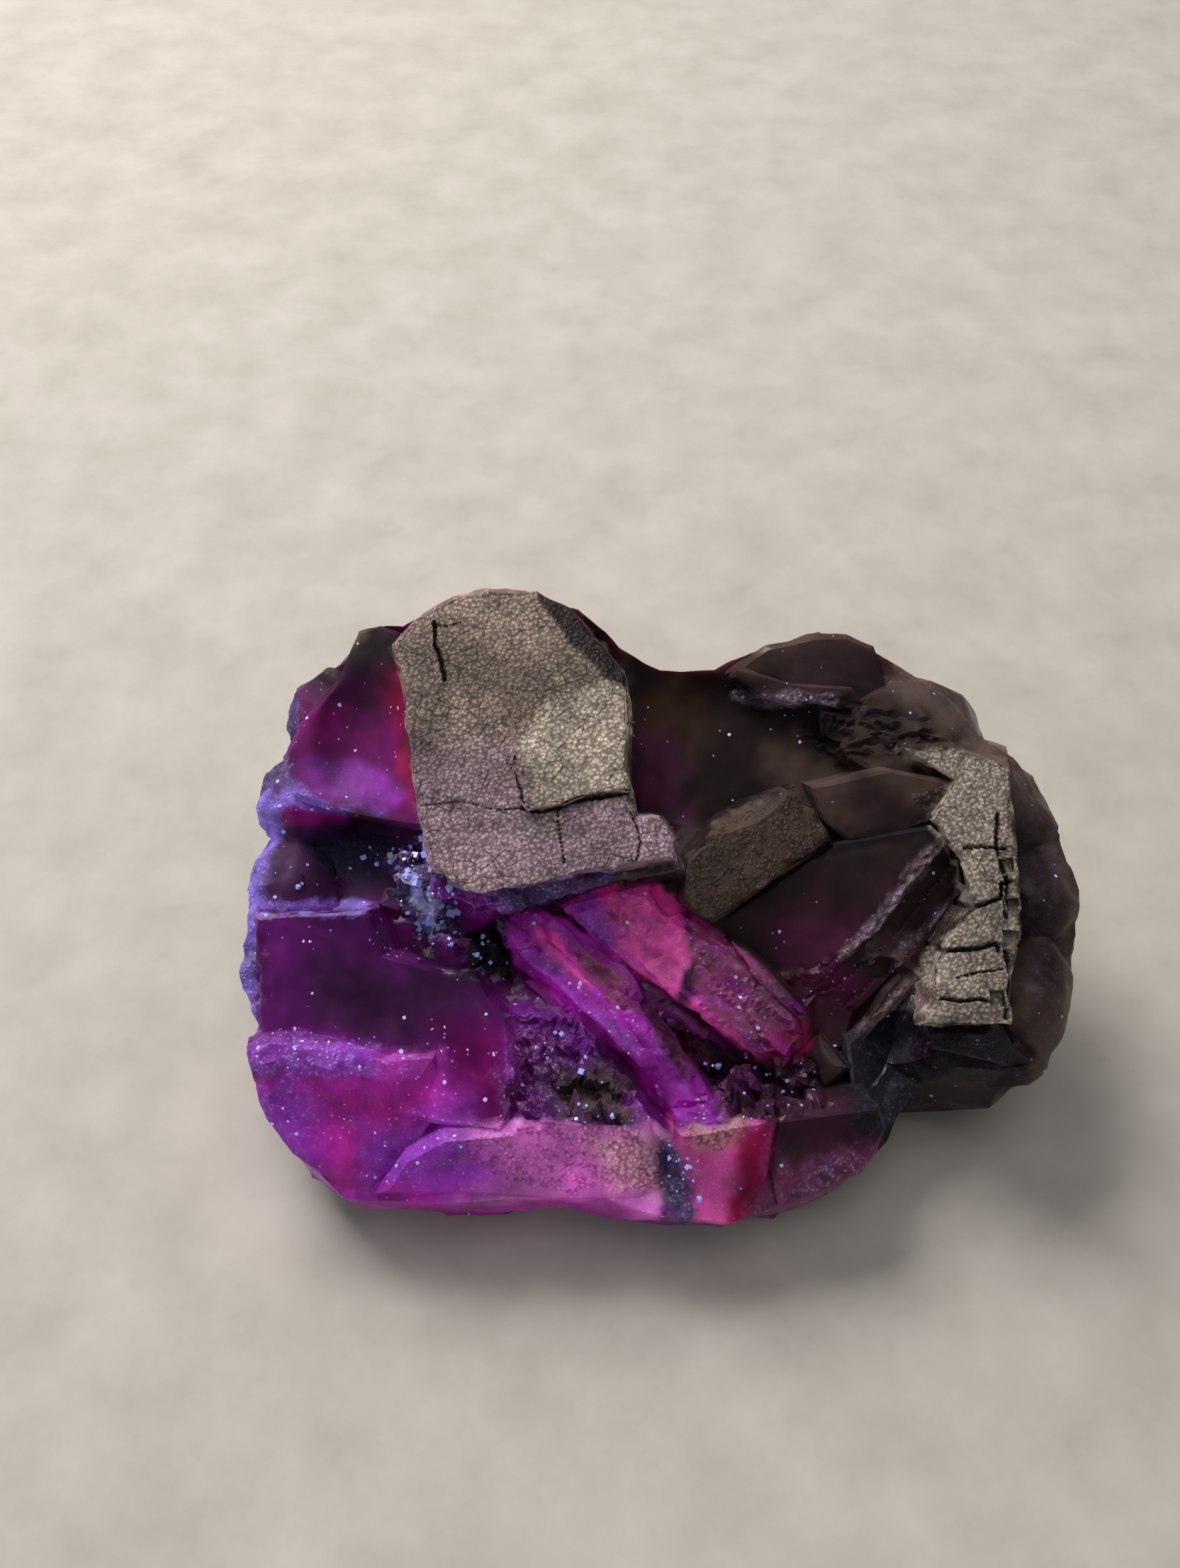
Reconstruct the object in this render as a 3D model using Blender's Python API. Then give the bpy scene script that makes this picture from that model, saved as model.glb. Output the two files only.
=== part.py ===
"""A hand-sized fluorite specimen: one mass of intergrown cubic crystals, broken open at the front.

Blender script, metres, +Z up. The origin is under the middle of the specimen, on the table.
Crystal outlines are drawn on the growth plane, which leans back from the table: u runs to the
right, v up the slope and w outwards, all in millimetres.
"""

import math
import random

import bmesh
import bpy
from mathutils import Matrix, Vector, noise

MM = 0.001

# Growth plane
PLANE_LEAN_DEG = 50.0  # between the plane's outward direction and the table
PLANE_HEIGHT = 17.0  # of the plane's own zero above the table
CENTRING = Vector((0.75, -0.98, 0.0))  # from the plane's zero to the middle of the specimen
CRUST_SLOPE = -0.375  # rise along v of the two crusted faces

# Core of the mass
CORE_INSET = 0.78  # the broken top face against the widest outline
CORE_RECESS = 1.0  # of that face below the outline
CORE_WAIST_HEIGHT = 0.5  # share of the widest outline's height
CORE_WAIST_SIZE = 0.97
FOOT_CENTRE = (-5.0, 1.0)
FOOT_SIZE = (0.66, 0.74)
FOOT_RIGHT_LIMIT = 19.0
FOOT_SMOOTHINGS = 3
FOOT_DEPTH = 2.0  # how far the foot runs below the table before it is cut flat
CORE_CUTS = 2  # of each edge, for the facets
FACET_SIZE = 6.0
FACET_DEPTH = 0.8
NOISE_OFFSETS = (Vector((0, 0, 0)), Vector((17, 5, 9)), Vector((3, 29, 13)))

# The widest outline of the mass, seen from the growth side: x, y and height above the table
WIDEST_OUTLINE = [
    (-38.0, 0.0, 14.0), (-38.0, 6.5, 15.0), (-36.5, 10.5, 17.0), (-36.0, 16.0, 19.0),
    (-34.5, 20.0, 20.0), (-34.0, 24.0, 21.0), (-31.0, 25.5, 23.0), (-28.5, 26.0, 27.0),
    (-24.0, 24.0, 29.5), (-21.0, 24.5, 31.5), (-16.0, 25.5, 32.5), (-11.0, 26.0, 31.5),
    (-7.5, 25.5, 30.5), (-4.0, 22.5, 28.0), (0.0, 21.5, 26.5), (5.0, 21.5, 26.0),
    (10.0, 23.0, 28.0), (14.0, 23.5, 29.0), (17.0, 22.5, 30.0), (21.5, 20.0, 29.0),
    (27.0, 16.0, 27.0), (31.5, 11.5, 25.0), (35.0, 6.0, 23.0), (37.0, 1.5, 20.0),
    (36.0, -3.5, 18.0), (35.0, -7.0, 16.5), (33.5, -12.0, 15.0), (30.0, -14.5, 14.0),
    (25.0, -13.5, 14.0), (22.5, -13.0, 9.0), (19.5, -17.5, 8.0), (15.0, -21.0, 8.0),
    (10.5, -23.0, 8.0), (5.0, -25.0, 8.0), (0.0, -24.5, 8.0), (-6.0, -23.5, 9.0),
    (-14.0, -23.5, 9.0), (-22.0, -23.0, 8.0), (-27.5, -22.5, 7.5), (-32.0, -19.0, 8.0),
    (-34.5, -15.0, 9.0), (-36.0, -10.0, 11.0), (-37.5, -4.5, 12.5),
]

# Crystals and broken blocks. level is the top face's w at pivot, slope its rise along u and v,
# root how deep the block runs into the mass, lean how far its root is shifted along u and v,
# taper the root's size against the top face along u and v, and worn the width of its edges.
CRYSTALS = {
    "tall_block": dict(
        outline=[
            (-24.5, 24.5), (-22.5, 27.0), (-19.0, 29.0), (-16.0, 29.5), (-11.5, 29.5),
            (-8.5, 28.0), (-6.0, 25.0), (-3.5, 22.0), (-3.0, 19.5), (-3.0, 12.5), (-2.5, 9.0),
            (-0.5, 9.0), (1.0, 7.0), (1.0, 5.0), (-4.0, 4.5), (-7.5, 4.0), (-10.5, 3.0),
            (-13.5, 2.5), (-16.0, 2.0), (-18.5, 3.0), (-20.0, 4.5), (-21.0, 6.5), (-22.0, 11.0),
            (-23.0, 17.5),
        ],
        pivot=(-10, 16), level=2.0, slope=(-0.03, CRUST_SLOPE), root=13, lean=(0.5, -3.5),
        taper=(0.92, 0.58), worn=0.35,
    ),
    "tall_block_plate": dict(
        outline=[
            (-13.5, 14.0), (-13.0, 10.5), (-12.0, 9.5), (-8.5, 10.0), (-6.0, 11.0), (-3.2, 11.0),
            (-3.3, 16.0), (-3.5, 20.0), (-6.5, 24.5), (-11.0, 25.0), (-13.5, 20.0),
        ],
        pivot=(-10, 16), level=2.45, slope=(-0.03, -0.42), root=2, lean=(0, 0), taper=(1.0, 1.0),
        worn=0.15,
    ),
    "tall_block_sill": dict(
        outline=[
            (-21.5, 9.0), (-20.5, 4.0), (-19.0, 1.8), (-16.0, 0.3), (-12.5, 0.7), (-8.5, 1.8),
            (-3.5, 3.3), (1.8, 4.0), (1.0, 6.5), (-8.5, 8.5),
        ],
        pivot=(-10, 5), level=3.8, slope=(0.0, -0.3), root=9, lean=(0, 3.5), taper=(0.9, 0.9), worn=0.3,
    ),
    "left_scooped_crystal": dict(
        outline=[
            (-28.0, 26.0), (-26.0, 26.5), (-23.0, 25.5), (-21.5, 12.5), (-21.0, 7.5),
            (-28.0, 8.5), (-34.0, 10.5), (-34.8, 14.0), (-33.5, 17.5), (-30.0, 21.5),
        ],
        pivot=(-28, 16), level=-2.6, slope=(0.3, -0.2), root=13, lean=(2, -2.5), taper=(0.9, 0.7),
        worn=0.5,
    ),
    "front_left_block": dict(
        outline=[
            (-36.0, 0.2), (-26.0, 0.7), (-24.5, -3.0), (-20.5, -4.0), (-16.5, -4.5),
            (-15.5, -6.5), (-13.5, -8.0), (-13.0, -15.5), (-14.0, -17.5), (-19.0, -17.0),
            (-25.0, -16.0), (-34.5, -14.0),
        ],
        pivot=(-26, -4), level=6.0, slope=(0.12, -0.2), root=9, lean=(1, 0), taper=(0.95, 0.95), worn=0.3,
    ),
    "front_ledge": dict(
        outline=[
            (-19.0, -17.5), (-13.5, -17.0), (-12.5, -15.5), (-7.5, -16.0), (-4.0, -16.0),
            (-1.5, -17.5), (0.0, -19.5), (0.0, -21.0), (-2.0, -24.0), (-7.5, -24.0),
            (-16.5, -23.5), (-25.0, -23.3), (-22.5, -19.5),
        ],
        pivot=(-12, -18), level=10.2, slope=(0.0, 0.25), root=9, lean=(0, 2), taper=(0.9, 0.9), worn=0.8,
    ),
    "front_knob": dict(
        outline=[
            (0.3, -17.2), (6.5, -16.0), (9.0, -15.5), (8.5, -21.0), (7.0, -24.9), (4.5, -25.3),
            (2.0, -24.9), (0.6, -21.0),
        ],
        pivot=(4, -18), level=10.6, slope=(0.02, 0.3), root=9, lean=(0, 2), taper=(0.9, 0.9), worn=0.8,
    ),
    "front_right_block": dict(
        outline=[
            (9.0, -16.5), (13.0, -16.0), (18.0, -15.5), (18.7, -17.5), (17.7, -20.0),
            (16.5, -21.4), (12.5, -23.2), (9.5, -24.1), (8.5, -20.0),
        ],
        pivot=(13, -18), level=8.8, slope=(-0.1, 0.05), root=9, lean=(-1, 2), taper=(0.9, 0.9),
        worn=0.4,
    ),
    "small_block": dict(
        outline=[
            (2.0, 5.0), (4.5, 8.0), (7.5, 10.0), (11.0, 11.0), (13.5, 9.5), (15.0, 6.5),
            (11.0, 4.0), (6.0, 0.5), (4.0, -0.5), (1.5, 1.5),
        ],
        pivot=(9, 5), level=2.5, slope=(-0.15, -0.1), root=11, lean=(-1, 1), taper=(0.95, 0.95), worn=0.3,
    ),
    "right_block": dict(
        outline=[
            (20.5, 15.0), (25.5, 15.0), (30.5, 13.0), (30.3, 7.5), (30.5, 3.0), (30.0, -1.5),
            (28.8, -4.5), (28.5, -8.5), (20.5, -8.5), (22.5, -6.0), (22.5, -3.5), (23.5, -2.0),
            (26.0, 1.0), (25.5, 5.0), (23.0, 8.5), (25.5, 12.0),
        ],
        pivot=(27, 3), level=6.5, slope=(0.0, CRUST_SLOPE), root=8, lean=(1.5, 2.5), taper=(0.95, 0.95),
        worn=0.25,
    ),
    "right_block_shelf": dict(
        outline=[
            (21.5, -8.0), (28.8, -8.0), (30.0, -10.5), (31.5, -12.0), (29.0, -12.5),
            (24.5, -11.5), (22.5, -11.0),
        ],
        pivot=(29, -10), level=7.0, slope=(0.0, -0.2), root=7, lean=(0, 2), taper=(0.9, 0.9), worn=0.4,
    ),
    "back_hump": dict(
        outline=[
            (6.0, 22.0), (9.5, 24.5), (14.0, 25.5), (17.0, 25.5), (19.5, 24.5), (21.5, 20.0),
            (20.5, 15.5), (14.5, 17.5), (8.5, 20.5),
        ],
        pivot=(14, 22), level=-3.6, slope=(0.05, 0.1), root=8, lean=(0, -1), taper=(0.9, 0.9), worn=0.6,
    ),
    "arrow_crystal": dict(
        outline=[
            (13.0, 11.5), (20.0, 13.0), (26.0, 11.8), (23.5, 8.5), (21.0, 7.0), (16.5, 6.5),
            (14.0, 8.5),
        ],
        pivot=(19, 9.5), level=1.8, slope=(0.12, 0.05), root=10, lean=(-1, 1), taper=(0.95, 0.95),
        worn=0.3,
    ),
    "slab_upper": dict(
        outline=[
            (15.0, 6.5), (20.5, 7.5), (23.5, 8.0), (25.0, 7.0), (23.0, 4.5), (18.5, -1.5),
            (14.5, -5.5), (12.5, -8.0), (10.0, -7.5), (6.0, -3.0), (5.0, -0.6),
        ],
        pivot=(16, -0.5), level=1.4, slope=(0.17, 0.0), root=10, lean=(-1, 1), taper=(0.97, 0.97), worn=0.3,
    ),
    "slab_lower": dict(
        outline=[
            (24.8, 7.3), (26.5, 3.0), (24.5, -1.5), (21.0, -4.5), (17.0, -9.0), (16.0, -12.0),
            (12.5, -12.2), (10.5, -8.0), (14.0, -4.5), (18.0, -1.0), (23.0, 5.0),
        ],
        pivot=(16, -0.5), level=0.8, slope=(0.14, 0.0), root=10, lean=(-1, 1), taper=(0.97, 0.97),
        worn=0.3,
    ),
    "slab_rib": dict(
        outline=[
            (27.0, 2.5), (26.8, 0.3), (24.0, -4.0), (20.0, -8.5), (17.5, -11.5), (16.3, -11.0),
            (19.5, -6.5), (23.5, -2.0),
        ],
        pivot=(22, -4), level=2.4, slope=(0.2, -0.1), root=10, lean=(-1, 1), taper=(0.95, 0.95), worn=0.3,
    ),
    "right_buttress": dict(
        outline=[
            (16.0, -11.0), (20.0, -8.5), (24.0, -6.0), (24.5, -10.0), (22.0, -15.5),
            (19.5, -17.5), (16.5, -16.0),
        ],
        pivot=(21, -12.5), level=0.8, slope=(-0.5, -0.2), root=12, lean=(-1, 2), taper=(1.0, 1.0),
        worn=0.3,
    ),
    "middle_slab": dict(
        outline=[
            (-9.0, 0.5), (-6.5, 1.5), (-1.5, 2.5), (0.0, 0.5), (2.5, -0.5), (6.0, -3.0),
            (9.0, -5.5), (11.5, -8.0), (12.0, -11.0), (10.0, -13.0), (5.0, -10.5), (0.5, -7.0),
            (-3.5, -4.0), (-6.5, -2.0),
        ],
        pivot=(2, -5), level=3.6, slope=(0.05, -0.15), root=9, lean=(0.5, 1), taper=(0.95, 0.95),
        worn=0.8,
    ),
    "middle_slab_sliver": dict(
        outline=[
            (5.8, -2.2), (7.2, -2.8), (10.2, -5.6), (12.2, -8.2), (11.6, -8.6), (8.6, -6.0),
        ],
        pivot=(9, -5.5), level=4.6, slope=(0.05, -0.2), root=8, lean=(0, 1), taper=(1.0, 1.0),
        worn=0.15,
    ),
    "hollow_block": dict(
        outline=[
            (-2.0, -6.0), (1.0, -7.0), (3.0, -9.0), (5.5, -11.5), (5.0, -14.0), (1.5, -13.5),
            (-0.5, -11.5),
        ],
        pivot=(2, -10), level=1.8, slope=(0.1, 0.25), root=8, lean=(0, 1), taper=(0.95, 0.95), worn=0.3,
    ),
    "hollow_floor": dict(
        outline=[
            (-13.5, -8.0), (-8.0, -8.5), (-6.0, -11.0), (-3.0, -16.5), (-13.0, -16.5),
            (-13.8, -11.5),
        ],
        pivot=(-9, -11), level=5.2, slope=(-0.05, -0.25), root=9, lean=(0, 1), taper=(0.95, 0.95),
        worn=0.3,
    ),
    "front_left_cheek": dict(
        outline=[
            (-36.3, -10.5), (-33.5, -9.8), (-29.5, -10.2), (-24.0, -11.5), (-19.5, -11.0),
            (-18.5, -15.5), (-21.0, -19.5), (-25.0, -23.3), (-28.0, -23.5), (-32.5, -20.4),
            (-35.4, -16.0),
        ],
        pivot=(-27, -15), level=8.7, slope=(0.03, 0.12), root=10, lean=(1, 2),
        taper=(0.9, 0.9), worn=1.9, rounds=2,
    ),
    "ridge": dict(
        outline=[
            (-14.5, -0.5), (-11.5, 0.7), (-8.5, -0.3), (-4.5, -4.0), (-1.0, -9.5),
            (2.5, -13.3), (4.5, -16.3), (0.5, -16.5), (-3.5, -12.0), (-8.5, -8.0), (-13.0, -4.0),
        ],
        pivot=(-6, -8), level=4.3, slope=(0.02, -0.26), root=8, lean=(0.5, 1),
        taper=(0.95, 0.95), worn=0.9,
    ),
    "ridge_crest": dict(
        outline=[
            (-13.6, -0.8), (-10.8, -2.2), (-7.2, -5.0), (-4.0, -8.6), (-1.0, -12.4),
            (-2.2, -12.4), (-6.2, -8.8), (-10.2, -5.4), (-13.2, -2.8),
        ],
        pivot=(-6, -8), level=5.2, slope=(0.0, -0.3), root=4, lean=(0, 0), taper=(1.2, 1.2),
        worn=0.2,
    ),
    "back_shard": dict(
        outline=[
            (6.7, 22.4), (11.8, 21.0), (17.4, 20.5), (18.5, 18.9), (14.4, 18.2), (9.2, 19.6),
            (6.4, 21.4),
        ],
        pivot=(12, 20), level=-3.0, slope=(0.06, 0.0), root=7, lean=(0, 0), taper=(0.95, 0.95),
        worn=0.25,
    ),
    "back_shard_step": dict(
        outline=[
            (14.4, 18.5), (19.0, 17.7), (21.5, 16.4), (21.8, 15.2), (17.9, 15.0), (14.7, 16.1),
        ],
        pivot=(18, 17), level=-2.2, slope=(0.1, -0.1), root=7, lean=(0, 0), taper=(0.95, 0.95),
        worn=0.25,
    ),
}

# Rod-like crystals lying in the hollow: both ends of the crest (u, v, w), width and height
RODS = {
    "short_rod": dict(ends=((-11.5, -4.5, 2.4), (-5.5, -10.5, 4.6)), width=3.4, height=5.0),
    "tip_rod": dict(ends=((12.5, -11.0, 2.6), (15.0, -14.0, 4.0)), width=3.0, height=4.5),
}
ROD_WORN_SHARE = 0.3  # of its width, broken off its upper edges

# Weathered lumps: centre (x, y, z) and half sizes
LUMPS = {
    "left_back_knob": dict(centre=(-31.4, 20.3, 19.5), half=(4.4, 5.6, 5.4)),
    "left_back_lobe": dict(centre=(-33.2, 13.0, 16.5), half=(4.8, 4.8, 5.0)),
    "left_wall_lobe": dict(centre=(-34.0, 5.5, 13.0), half=(4.4, 5.2, 4.6)),
    "right_flank_upper": dict(centre=(29.5, 8.5, 19.5), half=(6.4, 6.6, 6.6)),
    "right_flank_middle": dict(centre=(32.0, 1.0, 17.0), half=(5.2, 5.6, 5.6)),
    "right_flank_lower": dict(centre=(31.2, -7.0, 15.0), half=(4.8, 6.0, 4.8)),
    "right_flank_tip": dict(centre=(29.8, -11.0, 12.5), half=(3.8, 3.6, 3.6)),
    "back_right_shoulder": dict(centre=(22.5, 15.5, 22.0), half=(7.5, 6.5, 7.0)),
    "front_foot": dict(centre=(-16.0, -15.5, 3.5), half=(7.0, 6.8, 5.0)),
    "front_foot_right": dict(centre=(7.0, -16.5, 4.0), half=(8.0, 6.4, 4.2)),
}
LUMP_CORNERS = 40
LUMP_ROUGHNESS = 0.10
LUMP_JITTER = 0.25  # of a corner's angle
GOLDEN_ANGLE = math.pi * (3 - math.sqrt(5))

# Hollows in the core, under the crystals: centre (u, v, w), half sizes and turn in degrees
HOLLOWS = {
    "middle_hollow": dict(centre=(1.5, -11.0, 8.0), half=(13.0, 6.5, 8.5), turn=-38),
    "right_hollow": dict(centre=(17.0, -9.0, 8.5), half=(7.0, 8.0, 9.5), turn=-20),
    "slab_hollow": dict(centre=(10.5, -2.0, 9.5), half=(11.5, 9.5, 11.3), turn=0),
}
HOLLOW_SUBDIVISIONS = 3

# Curved breaks scooped out of the crystals, given the same way
SCOOPS = {
    "left_scoop": dict(centre=(-28.6, 17.0, 1.2), half=(5.6, 8.4, 6.6), turn=-14),
    "left_hollow": dict(centre=(-29.0, 5.2, 2.6), half=(7.6, 4.2, 7.2), turn=4),
    "saddle_scoop": dict(centre=(4.5, 14.5, 6.4), half=(8.6, 7.6, 11.4), turn=0),
    "sill_gap": dict(centre=(-17.8, -1.6, 3.6), half=(4.4, 1.7, 6.0), turn=32),
    "middle_pocket": dict(centre=(7.0, -13.2, 8.0), half=(5.0, 2.2, 6.0), turn=-12),
}

# Square pits in the right block's crust: centre (u, v, w) and edge length
PITS = {
    "pit_top": dict(centre=(29.3, 4.8, 5.9), edge=1.3),
    "pit_upper": dict(centre=(29.6, 1.4, 7.1), edge=1.1),
    "pit_middle": dict(centre=(29.2, -1.4, 8.2), edge=1.5),
    "pit_lower": dict(centre=(27.6, -6.2, 10.0), edge=1.4),
}

# Small cubes grown on the hollow's walls: how many, edge length and where (u, v, w ranges)
CUBE_SEED = 11
CUBE_TIP = 0.7  # how far a cube may tip over, in radians
CUBE_FIELDS = [
    dict(count=7, edge=(1.4, 2.6), u=(-25.5, -20.5), v=(1.0, 4.6), w=(0.2, 1.2)),
    dict(count=5, edge=(1.2, 2.0), u=(-20.0, -17.0), v=(-3.6, -2.2), w=(2.0, 3.4)),
    dict(count=7, edge=(1.3, 2.2), u=(-12.5, -7.0), v=(-15.5, -11.0), w=(4.9, 5.7)),
    dict(count=6, edge=(1.4, 2.4), u=(5.5, 12.0), v=(-15.5, -12.8), w=(3.0, 4.2)),
]

TABLE_SIZE = 120.0  # of the block that cuts the foot flat

FLUORITE_COLOUR = (0.115, 0.022, 0.085, 1.0)
FLUORITE_ROUGHNESS = 0.35


def growth_frame():
    """The growth plane's frame in the world: u, v and w as columns, its zero as the origin."""
    lean = math.radians(PLANE_LEAN_DEG)
    along_u = Vector((1, 0, 0))
    along_v = Vector((0, math.sin(lean), math.cos(lean)))
    along_w = Vector((0, -math.cos(lean), math.sin(lean)))
    turned = Matrix((along_u, along_v, along_w)).transposed().to_4x4()
    return Matrix.Translation((0, 0, PLANE_HEIGHT)) @ turned


def clear_scene():
    for thing in list(bpy.data.objects):
        bpy.data.objects.remove(thing)


def fluorite():
    material = bpy.data.materials.new("fluorite")
    material.use_nodes = True
    shader = material.node_tree.nodes["Principled BSDF"]
    shader.inputs["Base Color"].default_value = FLUORITE_COLOUR
    shader.inputs["Roughness"].default_value = FLUORITE_ROUGHNESS
    shader.inputs["Metallic"].default_value = 0.0
    return material


def object_from(name, bm, material, frame=None):
    """An object from a bmesh in millimetres, laid out in a frame, centred and scaled to metres."""
    if frame is not None:
        bmesh.ops.transform(bm, matrix=frame, verts=bm.verts)
    bmesh.ops.translate(bm, vec=CENTRING, verts=bm.verts)
    bmesh.ops.scale(bm, vec=(MM, MM, MM), verts=bm.verts)
    bmesh.ops.recalc_face_normals(bm, faces=bm.faces)
    mesh = bpy.data.meshes.new(name)
    bm.to_mesh(mesh)
    bm.free()
    mesh.materials.append(material)
    thing = bpy.data.objects.new(name, mesh)
    bpy.context.scene.collection.objects.link(thing)
    return thing


def loft(rings):
    """A closed solid through rings of points: side faces between rings, and both end caps."""
    bm = bmesh.new()
    rows = [[bm.verts.new(point) for point in ring] for ring in rings]
    for upper, lower in zip(rows, rows[1:]):
        for here in range(len(upper)):
            after = (here + 1) % len(upper)
            bm.faces.new((upper[here], upper[after], lower[after], lower[here]))
    caps = [bm.faces.new(rows[0]), bm.faces.new(rows[-1])]
    return bm, caps


def middle(points):
    return sum(points, Vector((0, 0, 0))) / len(points)


def core(material):
    """The mass behind the crystals: its broken top face, widest outline, waist and foot."""
    frame = growth_frame()
    back_to_plane = frame.inverted()
    widest = [Vector(point) for point in WIDEST_OUTLINE]
    on_plane = [back_to_plane @ point for point in widest]
    heart = middle(on_plane)
    top = []
    for point in on_plane:
        u = heart.x + (point.x - heart.x) * CORE_INSET
        v = heart.y + (point.y - heart.y) * CORE_INSET
        top.append(frame @ Vector((u, v, point.z - CORE_RECESS)))
    foot_heart = Vector((*FOOT_CENTRE, 0))
    waist, foot = [], []
    for point in widest:
        waist.append(
            Vector((point.x * CORE_WAIST_SIZE, point.y * CORE_WAIST_SIZE, point.z * CORE_WAIST_HEIGHT))
        )
        x = foot_heart.x + (point.x - foot_heart.x) * FOOT_SIZE[0]
        y = foot_heart.y + (point.y - foot_heart.y) * FOOT_SIZE[1]
        foot.append(Vector((min(x, FOOT_RIGHT_LIMIT), y, -FOOT_DEPTH)))
    for _ in range(FOOT_SMOOTHINGS):
        foot = [
            (foot[here - 1] + 2 * foot[here] + foot[(here + 1) % len(foot)]) / 4
            for here in range(len(foot))
        ]
    bm, caps = loft([top, widest, waist, foot])
    bmesh.ops.poke(bm, faces=caps)
    bmesh.ops.triangulate(bm, faces=bm.faces)
    bmesh.ops.subdivide_edges(bm, edges=bm.edges, cuts=CORE_CUTS, use_grid_fill=True)
    bmesh.ops.triangulate(bm, faces=bm.faces)
    roughen(bm, FACET_SIZE, FACET_DEPTH)
    return object_from("fluorite_specimen", bm, material)


def roughen(bm, size, depth):
    """Moves each vertex a little, by smooth noise of the given size in millimetres."""
    for vert in bm.verts:
        place = vert.co / size
        vert.co += depth * Vector([noise.noise(place + offset) for offset in NOISE_OFFSETS])


def crystal(name, material, outline, pivot, level, slope, root, lean, taper, worn, rounds=1):
    """A block with a flat, tilted top face, drawn on the growth plane."""
    def top_level(u, v):
        return level + slope[0] * (u - pivot[0]) + slope[1] * (v - pivot[1])

    top = [Vector((u, v, top_level(u, v))) for u, v in outline]
    heart = middle(top)
    shift = Vector((*lean, -root))
    size = Vector((*taper, 1))
    below = [heart + (point - heart) * size + shift for point in top]
    bm, caps = loft([top, below])
    bmesh.ops.recalc_face_normals(bm, faces=bm.faces)
    bmesh.ops.bevel(
        bm, geom=list(caps[0].edges), offset=worn, offset_type="OFFSET", segments=rounds,
        profile=0.5, affect="EDGES", material=-1, clamp_overlap=True,
    )
    return object_from(name, bm, material, growth_frame())


def rod(name, material, ends, width, height):
    """A lying crystal with a ridged back: a box along its crest, its upper edges broken."""
    start, end = (Vector(point) for point in ends)
    along = (end - start).normalized()
    across = along.cross(Vector((0, 0, 1))).normalized()
    outwards = across.cross(along)
    length = (end - start).length
    place = Matrix((along, across, outwards)).transposed().to_4x4()
    place.translation = (start + end) / 2 - outwards * height / 2
    bm = bmesh.new()
    bmesh.ops.create_cube(bm, size=1.0)
    bmesh.ops.scale(bm, vec=(length, width, height), verts=bm.verts)
    upper = [
        edge for edge in bm.edges
        if all(vert.co.z > 0 for vert in edge.verts)
    ]
    bmesh.ops.bevel(
        bm, geom=upper, offset=width * ROD_WORN_SHARE, offset_type="OFFSET", segments=2, profile=0.5,
        affect="EDGES", material=-1, clamp_overlap=True,
    )
    bmesh.ops.transform(bm, matrix=place, verts=bm.verts)
    return object_from(name, bm, material, growth_frame())


def lump(name, material, centre, half):
    """A weathered lump with many small facets: the hull of points spread over an ellipsoid."""
    draw = random.Random(name)
    bm = bmesh.new()
    for corner in range(LUMP_CORNERS):
        height = 1 - 2 * (corner + 0.5) / LUMP_CORNERS
        angle = corner * GOLDEN_ANGLE + draw.uniform(-LUMP_JITTER, LUMP_JITTER)
        out = math.sqrt(1 - height * height)
        reach = 1 + draw.uniform(-LUMP_ROUGHNESS, LUMP_ROUGHNESS)
        bm.verts.new(Vector((out * math.cos(angle), out * math.sin(angle), height)) * reach)
    hull = bmesh.ops.convex_hull(bm, input=bm.verts)
    inside = [item for item in hull["geom_interior"] if isinstance(item, bmesh.types.BMVert)]
    bmesh.ops.delete(bm, geom=inside, context="VERTS")
    bmesh.ops.scale(bm, vec=half, verts=bm.verts)
    bmesh.ops.translate(bm, vec=centre, verts=bm.verts)
    return object_from(name, bm, material)


def scoop(name, material, centre, half, turn):
    """A cutter for one curved break."""
    bm = bmesh.new()
    bmesh.ops.create_icosphere(bm, subdivisions=HOLLOW_SUBDIVISIONS, radius=1.0)
    bmesh.ops.scale(bm, vec=half, verts=bm.verts)
    bmesh.ops.rotate(bm, matrix=Matrix.Rotation(math.radians(turn), 3, "Z"), verts=bm.verts)
    bmesh.ops.translate(bm, vec=centre, verts=bm.verts)
    return object_from(name, bm, material, growth_frame())


def pit(name, material, centre, edge):
    """A cutter for a square pit, turned like the crust it sits in."""
    bm = bmesh.new()
    bmesh.ops.create_cube(bm, size=edge)
    bmesh.ops.rotate(bm, matrix=Matrix.Rotation(math.atan(CRUST_SLOPE), 3, "X"), verts=bm.verts)
    bmesh.ops.translate(bm, vec=centre, verts=bm.verts)
    return object_from(name, bm, material, growth_frame())


def small_cubes(material):
    """Cubes on the hollow's walls, each turned its own way, from one seeded draw."""
    draw = random.Random(CUBE_SEED)
    cubes = []
    for field_number, field in enumerate(CUBE_FIELDS):
        for cube_number in range(field["count"]):
            edge = draw.uniform(*field["edge"])
            place = Vector([draw.uniform(*field[axis]) for axis in "uvw"])
            turn = Matrix.Rotation(draw.uniform(0, math.tau), 4, "Z")
            tip = Matrix.Rotation(draw.uniform(-CUBE_TIP, CUBE_TIP), 4, "X")
            bm = bmesh.new()
            bmesh.ops.create_cube(bm, size=edge)
            bmesh.ops.transform(bm, matrix=Matrix.Translation(place) @ turn @ tip, verts=bm.verts)
            name = f"small_cube_{field_number}_{cube_number}"
            cubes.append(object_from(name, bm, material, growth_frame()))
    return cubes


def table_cutter(material):
    """Everything below the table, which leaves the foot flat."""
    bm = bmesh.new()
    bmesh.ops.create_cube(bm, size=TABLE_SIZE)
    bmesh.ops.translate(bm, vec=(0, 0, -TABLE_SIZE / 2), verts=bm.verts)
    return object_from("table_cutter", bm, material)


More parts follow.
